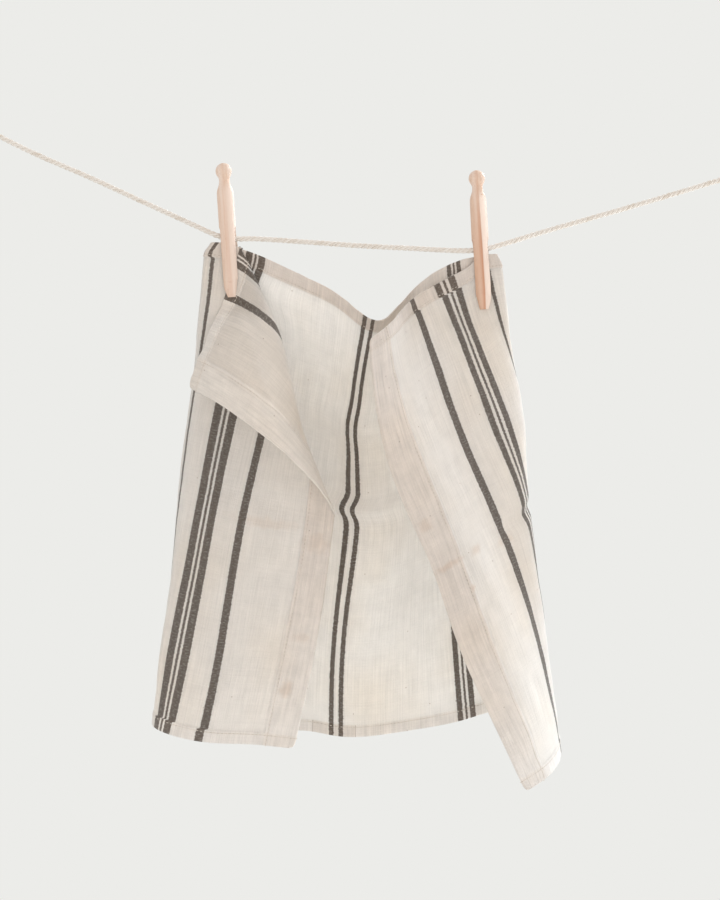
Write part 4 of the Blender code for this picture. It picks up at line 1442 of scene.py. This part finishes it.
def cloth_mesh(columns, rows, outside, inside):
    """Closed skin over both faces, with the flat coordinates and which face is which."""
    across, down = len(columns), len(rows)
    index = np.arange(across * down).reshape(across, down)
    other = index + across * down
    corners = (index[:-1, :-1], index[1:, :-1], index[1:, 1:], index[:-1, 1:])
    a, b, c, d = (corner.ravel() for corner in corners)
    under = across * down
    quads = [np.stack((b, c, d, a), axis=1), np.stack((d, c, b, a), axis=1) + under]
    for first, second in (
        (index[1:, 0], index[:-1, 0]),
        (index[:-1, -1], index[1:, -1]),
        (index[0, :-1], index[0, 1:]),
        (index[-1, 1:], index[-1, :-1]),
    ):
        quads.append(np.stack((first, second, second + under, first + under), axis=1))
    points = np.concatenate((outside.reshape(-1, 3), inside.reshape(-1, 3)))
    mesh = shape_mesh("tea_towel", row_points(points), np.concatenate(quads).tolist())
    flat = np.stack(np.meshgrid(columns, rows, indexing="ij"), axis=2).reshape(-1, 2) * MM
    flat = np.concatenate((flat, flat))
    corner_points = np.empty(len(mesh.loops), dtype=np.int64)
    mesh.loops.foreach_get("vertex_index", corner_points)
    mesh.uv_layers.new(name="flat").data.foreach_set("uv", flat[corner_points].ravel())
    give_attribute(mesh, "turned_side", "FLOAT", np.repeat((1.0, 0.0), across * down))
    # the turned corner, which carries a painted shade, fading out near its fold
    folded = np.array([soft_step((turn_along(place) - rows) / LAPPED_FADE) for place in columns])
    give_attribute(mesh, "lapped", "FLOAT", np.tile(folded.ravel(), 2))
    mesh.shade_smooth()
    return mesh


def seam_lines(columns, rows, outside, inside, facing):
    """Every line of stitching as points on the cloth with the way it faces there."""
    lines = []
    for face, sign in ((outside, 1.0), (inside, -1.0)):
        for place in (SIDE_STITCH, TOWEL_WIDTH - SIDE_STITCH):
            i = int(np.argmin(abs(columns - place)))
            lines.append((face[i], sign * facing[i]))
        for place in (TOP_HEM - END_STITCH_IN, TOWEL_LENGTH - BOTTOM_HEM + END_STITCH_IN):
            j = int(np.argmin(abs(rows - place)))
            lines.append((face[:, j], sign * facing[:, j]))
    return lines


# ---- Operators ----
class TOWEL_OT_stage(bpy.types.Operator):
    """Set the camera, the soft light and the pale floor"""
    bl_idname = "towel.stage"
    bl_label = "Studio"

    def execute(self, context):
        choices = context.scene.towel_studio
        scene = context.scene
        scene.view_settings.view_transform = "Standard"
        lens = bpy.data.cameras.new("studio_camera")
        lens.sensor_fit = "VERTICAL"
        lens.sensor_width = SENSOR
        lens.sensor_height = SENSOR
        lens.lens = CAMERA_LENS
        lens.clip_start = 0.01
        camera = bpy.data.objects.new("studio_camera", lens)
        camera.location = CAMERA_PLACE
        camera.rotation_euler = (math.pi / 2, 0, 0)
        scene.collection.objects.link(camera)
        scene.camera = camera

        scene.world = studio_air(choices)
        middle = Vector((CAMERA_PLACE[0], 0, CAMERA_PLACE[2]))
        for lamp in LAMPS:
            self.soft_light(scene, lamp, middle, getattr(choices, lamp.name))

        half = FLOOR_SIZE
        corners = [(-half, -half, 0), (half, -half, 0), (half, half, 0), (-half, half, 0)]
        points = [Vector(corner) + Vector((middle.x, 0, FLOOR_HEIGHT)) for corner in corners]
        floor = link_mesh("studio_floor", shape_mesh("studio_floor", points, [(0, 1, 2, 3)]))
        floor.data.materials.append(pale_floor(choices.backdrop))
        return {"FINISHED"}

    @staticmethod
    def soft_light(scene, lamp, target, power):
        """Add one lamp, turned towards the target and hidden from the camera."""
        name = lamp.name + "_light"
        light = bpy.data.lights.new(name, "AREA")
        light.shape = "DISK"
        light.size = lamp.size
        light.energy = power
        light.color = lamp.colour
        away = Vector((lamp.right, lamp.away, lamp.up))
        placed = bpy.data.objects.new(name, light)
        placed.location = target + away
        placed.rotation_euler = (-away).to_track_quat("-Z", "Y").to_euler()
        placed.visible_camera = False
        scene.collection.objects.link(placed)


class TOWEL_OT_line(bpy.types.Operator):
    """Lay the twisted line with a whipped eye at each end"""
    bl_idname = "towel.line"
    bl_label = "Clothes line"

    def execute(self, context):
        choices = context.scene.towel_line
        tree = laid_strands_tree()
        cotton = laid_cotton("line_cotton", choices.cotton, yarns=5, yarn_pitch=7.0, radius=STRAND_RADIUS)
        twine = laid_cotton("whipping_twine", choices.cotton, yarns=2, yarn_pitch=2.4, radius=TWINE_RADIUS)
        common = {"Strands": choices.strands, "Sides": STRAND_SIDES, "Caps": True}
        strand = {
            **common, "Step": LINE_STEP * MM, "Pitch": choices.pitch,
            "Offset": STRAND_OFFSET * MM, "Radius": STRAND_RADIUS * MM, "Material": cotton,
        }
        route = row_points(ROUTE)
        line = self.wound("rope_line", tree, route, strand)
        ends = []
        for side, end, outward in (("left", ROUTE[0], -HEADING[0]), ("right", ROUTE[-1], HEADING[-1])):
            aside = np.cross(DEPTHWISE, outward)
            turns = 2 * math.pi * np.arange(EYE_STEPS) / EYE_STEPS
            centre = end + EYE_REACH * outward
            spokes = np.cos(turns)[:, None] * outward + np.sin(turns)[:, None] * aside
            ring = row_points(centre + EYE_RADIUS * spokes)
            round_trip = EYE_STEPS * np.linalg.norm(ring[1] - ring[0])
            closed = {
                **strand, "Pitch": round_trip / EYE_TURNS, "Caps": False, "Step": round_trip / EYE_STEPS,
            }
            eye = self.wound("rope_eye_" + side, tree, ring, closed, closed=True)
            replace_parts(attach(eye, "root"), "line_eye_" + side)

            run = np.linspace(0, WHIPPING_LENGTH, WHIPPING_STOPS)[:, None]
            axis = row_points(end + (TOUCH_GAP + run) * outward)
            core = {**strand, "Offset": CORE_OFFSET * MM, "Radius": CORE_RADIUS * MM}
            winding = {
                **common, "Strands": 1, "Sides": TWINE_SIDES,
                "Step": TWINE_STEP * MM, "Pitch": 2 * TWINE_RADIUS * MM,
                "Offset": TWINE_OFFSET * MM, "Radius": TWINE_RADIUS * MM, "Material": twine,
            }
            bundle = self.wound_mesh("core", tree, axis, core)
            wrap = self.wound_mesh("wrap", tree, axis[1:-1], winding)
            name = "rope_whipping_" + side
            whipping = link_mesh(name, joined_mesh(name, [bundle, wrap]))
            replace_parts(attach(whipping, "root"), "line_whipping_" + side)
            ends += [eye, whipping]
        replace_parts(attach(line, "root"), "clothes_line")
        return {"FINISHED"}

    @staticmethod
    def wound_mesh(name, tree, points, values, closed=False):
        """Mesh of the strands that a tree winds round a path."""
        edges = [(i, i + 1) for i in range(len(points) - 1)] + ([(len(points) - 1, 0)] if closed else [])
        source = link_mesh(name + "_path", shape_mesh(name + "_path", points, [], edges))
        return grow(source, tree, values, name)

    def wound(self, name, tree, points, values, closed=False):
        return link_mesh(name, self.wound_mesh(name, tree, points, values, closed))


class TOWEL_OT_pegs(bpy.types.Operator):
    """Turn, slot and trim the two dolly pegs"""
    bl_idname = "towel.pegs"
    bl_label = "Pegs"

    def execute(self, context):
        choices = context.scene.towel_pegs
        for peg in PEGS:
            made = self.peg(peg, peg_wood("peg_wood_" + peg.side, choices, WOOD_LIGHT_AND_SHADE[peg.side]))
            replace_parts(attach(made, "root"), "peg_" + peg.side)
        return {"FINISHED"}

    @staticmethod
    def outline(peg):
        """Distance down and radius of each ring, from the top of the ball to the foot."""
        last = math.pi - math.asin(PEG_NECK[0].radius / PEG_BALL)
        turns = np.linspace(BALL_FIRST_TURN, last, BALL_RINGS)
        rings = [(PEG_BALL * (1 - math.cos(turn)), PEG_BALL * math.sin(turn)) for turn in turns[:-1]]
        rings += [(ring.down, ring.radius * (peg.shoulder / PEG_NECK[-1].radius)) for ring in PEG_NECK]
        stations = (
            PEG_NECK[-1].down,
            PEG_BODY_SHARE * peg.length,
            peg.length - PEG_TAPER,
            peg.length - PEG_FOOT_TAPER,
            peg.length,
        )
        radii = (peg.shoulder, peg.body, peg.body, (peg.body + peg.foot) / 2, peg.foot - PEG_FOOT_EASE)
        downs = np.linspace(stations[0], stations[-1], BODY_RINGS + 1)[1:]
        return rings + [(down, float(np.interp(down, stations, radii))) for down in downs]

    def peg(self, peg, look):
        """One whole peg: a turned blank, slotted and trimmed, its edges softened."""
        lean = math.atan(peg.clamp.lean)
        down = np.array((math.sin(lean), 0.0, -math.cos(lean)))
        sideways = np.array((math.cos(lean), 0.0, math.sin(lean)))
        top_height = peg.clamp.foot + peg.length * math.cos(lean)
        top = np.array((peg.clamp.x - peg.clamp.lean * top_height, 0.0, top_height))
        body = self.blank(peg, top, down, sideways)
        cutters = [self.slot_cutter(peg, top, down, sideways)]
        cutters += [self.flat_cutter(cut, top, down, sideways) for cut in FLATS if cut.side == peg.side]
        mesh = self.cut_and_soften(body, cutters)
        self.set_back_prong(mesh, peg, top, down, sideways)
        mesh.shade_smooth()
        mesh.set_sharp_from_angle(angle=SOFT_EDGE_ANGLE)
        return link_mesh("dolly_peg_" + peg.side, mesh, look)

    def blank(self, peg, top, down, sideways):
        """The peg as it comes off the lathe, before it is cut."""
        turns = 2 * math.pi * np.arange(PEG_SIDES) / PEG_SIDES
        rim = np.cos(turns)[:, None] * sideways + np.sin(turns)[:, None] * DEPTHWISE
        rings = self.outline(peg)
        points = np.concatenate([top + distance * down + radius * rim for distance, radius in rings])
        faces = [tuple(range(PEG_SIDES)), tuple(range((len(rings) - 1) * PEG_SIDES, len(rings) * PEG_SIDES))]
        for ring in range(len(rings) - 1):
            for k in range(PEG_SIDES):
                here, beside = ring * PEG_SIDES + k, ring * PEG_SIDES + (k + 1) % PEG_SIDES
                faces.append((here, beside, beside + PEG_SIDES, here + PEG_SIDES))
        return self.solid("dolly_peg_" + peg.side, points, faces)

    @staticmethod
    def cut_and_soften(body, cutters):
        """The body's mesh with the cutters taken away from it and its sharp edges rounded."""
        for cutter in cutters:
            cut = body.modifiers.new(cutter.name, "BOOLEAN")
            cut.operation = "DIFFERENCE"
            cut.solver = "EXACT"
            cut.object = cutter
        edge = body.modifiers.new("soft_edges", "BEVEL")
        edge.width = ROUND_EDGE * MM
        edge.segments = 2
        edge.limit_method = "ANGLE"
        edge.angle_limit = SOFT_EDGE_ANGLE
        mesh = plain_mesh(body, body.name)
        for cutter in cutters:
            bpy.data.objects.remove(cutter)
        return mesh

    @staticmethod
    def set_back_prong(mesh, peg, top, down, sideways):
        """Stand the back prong a little to the right of the front one, and store the wood's own places."""
        places = np.empty(len(mesh.vertices) * 3)
        mesh.vertices.foreach_get("co", places)
        places = places.reshape(-1, 3)
        local = places / MM + ORIGIN - top
        along = local @ down
        below_slot = np.clip((along - peg.length + SLOT_LENGTH) / SLOT_LENGTH, 0, 1)
        behind = local[:, 1] > 0
        shift = BACK_PRONG_TURN[peg.side] * MM * np.sin(below_slot * math.pi / 2) * behind
        places += shift[:, None] * sideways
        mesh.vertices.foreach_set("co", places.ravel())
        grain = np.stack((local @ sideways, local[:, 1], along), axis=1) * MM
        give_attribute(mesh, "grain", "FLOAT_VECTOR", grain)

    @staticmethod
    def solid(name, points, faces):
        """A closed body whose points are in table millimetres."""
        mesh = shape_mesh(name, row_points(points), faces)
        face_outwards(mesh)
        return link_mesh(name, mesh)

    def slot_cutter(self, peg, top, down, sideways):
        """Cutter for the slot between the prongs, round at its head."""
        half = SLOT_WIDTH / 2
        foot = top + (peg.length + SLOT_RUNOUT) * down
        centre = top + (peg.length - SLOT_LENGTH + half) * down
        turns = math.pi * np.arange(SLOT_ARC_STEPS + 1) / SLOT_ARC_STEPS
        arch = centre + half * (np.cos(turns)[:, None] * DEPTHWISE - np.sin(turns)[:, None] * down)
        profile = np.concatenate(([foot + half * DEPTHWISE], arch, [foot - half * DEPTHWISE]))
        return self.bar("slot", profile, 2 * peg.body * sideways)

    def flat_cutter(self, cut, top, down, sideways):
        """Cutter for one flat side of a peg."""
        turn = math.radians(cut.turn)
        out = math.sin(turn) * sideways - math.cos(turn) * DEPTHWISE
        profile = np.array([
            top + cut.down_a * down + cut.out_a * out,
            top + cut.down_b * down + cut.out_b * out,
            top + cut.down_b * down + (cut.out_b + CUTTER_REACH) * out,
            top + cut.down_a * down + (cut.out_a + CUTTER_REACH) * out,
        ])
        return self.bar("flat", profile, 2 * PEG_BALL * np.cross(out, down))

    def bar(self, name, profile, half):
        """Straight bar with the given profile, reaching `half` to both sides of it."""
        count = len(profile)
        points = np.concatenate((profile - half, profile + half))
        faces = [tuple(range(count)), tuple(range(count, 2 * count))]
        faces += [(k, (k + 1) % count, (k + 1) % count + count, k + count) for k in range(count)]
        return self.solid(name, points, faces)


class TOWEL_OT_cloth(bpy.types.Operator):
    """Hang the towel and sew its hems"""
    bl_idname = "towel.cloth"
    bl_label = "Towel"

    def execute(self, context):
        choices = context.scene.towel_cloth
        sewing = context.scene.towel_stitches
        columns, rows, outside, inside, facing = cloth_faces(choices)
        mesh = cloth_mesh(columns, rows, outside, inside)
        towel = link_mesh("tea_towel", mesh, striped_cotton(choices))
        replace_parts(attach(towel, "root"), "towel")

        points, ways, edges = [], [], []
        for line, way in seam_lines(columns, rows, outside, inside, facing):
            start = len(points)
            points += list(row_points(line + way * STITCH_LIFT))
            ways += list(way)
            edges += [(k, k + 1) for k in range(start, len(points) - 1)]
        path = shape_mesh("seams", points, [], edges)
        give_attribute(path, "facing", "FLOAT_VECTOR", ways)
        values = {
            "Spacing": sewing.spacing, "Length": sewing.length, "Width": sewing.width,
            "Material": sewing_thread(sewing),
        }
        stitches = grow(link_mesh("seams", path), stitch_tree(), values, "hem_stitching")
        stitching = link_mesh("hem_stitching", stitches)
        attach(stitching, "root")
        return {"FINISHED"}


class TOWEL_PT_panel(bpy.types.Panel):
    """Steps that build the towel on its line, in order"""
    bl_idname = "TOWEL_PT_panel"
    bl_label = "Tea towel on a line"
    bl_space_type = "VIEW_3D"
    bl_region_type = "UI"
    bl_category = "Tea Towel"

    def draw(self, context):
        for operator, choices in STEPS:
            box = self.layout.box()
            box.operator(operator.bl_idname)
            for name in choices:
                group = getattr(context.scene, name)
                for key in group.bl_rna.properties.keys():
                    if key not in {"rna_type", "name"}:
                        box.prop(group, key)


STEPS = (
    (TOWEL_OT_stage, ("towel_studio",)),
    (TOWEL_OT_line, ("towel_line",)),
    (TOWEL_OT_pegs, ("towel_pegs",)),
    (TOWEL_OT_cloth, ("towel_cloth", "towel_stitches")),
)
CHOICES = {
    "towel_studio": StudioChoices,
    "towel_line": LineChoices,
    "towel_pegs": PegChoices,
    "towel_cloth": ClothChoices,
    "towel_stitches": StitchChoices,
}


def register():
    for group in CHOICES.values():
        bpy.utils.register_class(group)
    for name, group in CHOICES.items():
        setattr(bpy.types.Scene, name, bpy.props.PointerProperty(type=group))
    for operator, _ in STEPS:
        bpy.utils.register_class(operator)
    bpy.utils.register_class(TOWEL_PT_panel)


def unregister():
    bpy.utils.unregister_class(TOWEL_PT_panel)
    for operator, _ in reversed(STEPS):
        bpy.utils.unregister_class(operator)
    for name in CHOICES:
        delattr(bpy.types.Scene, name)
    for group in CHOICES.values():
        bpy.utils.unregister_class(group)


def main():
    register()
    bpy.ops.towel.stage()
    bpy.ops.towel.line()
    bpy.ops.towel.pegs()
    bpy.ops.towel.cloth()


if __name__ == "__main__":
    main()
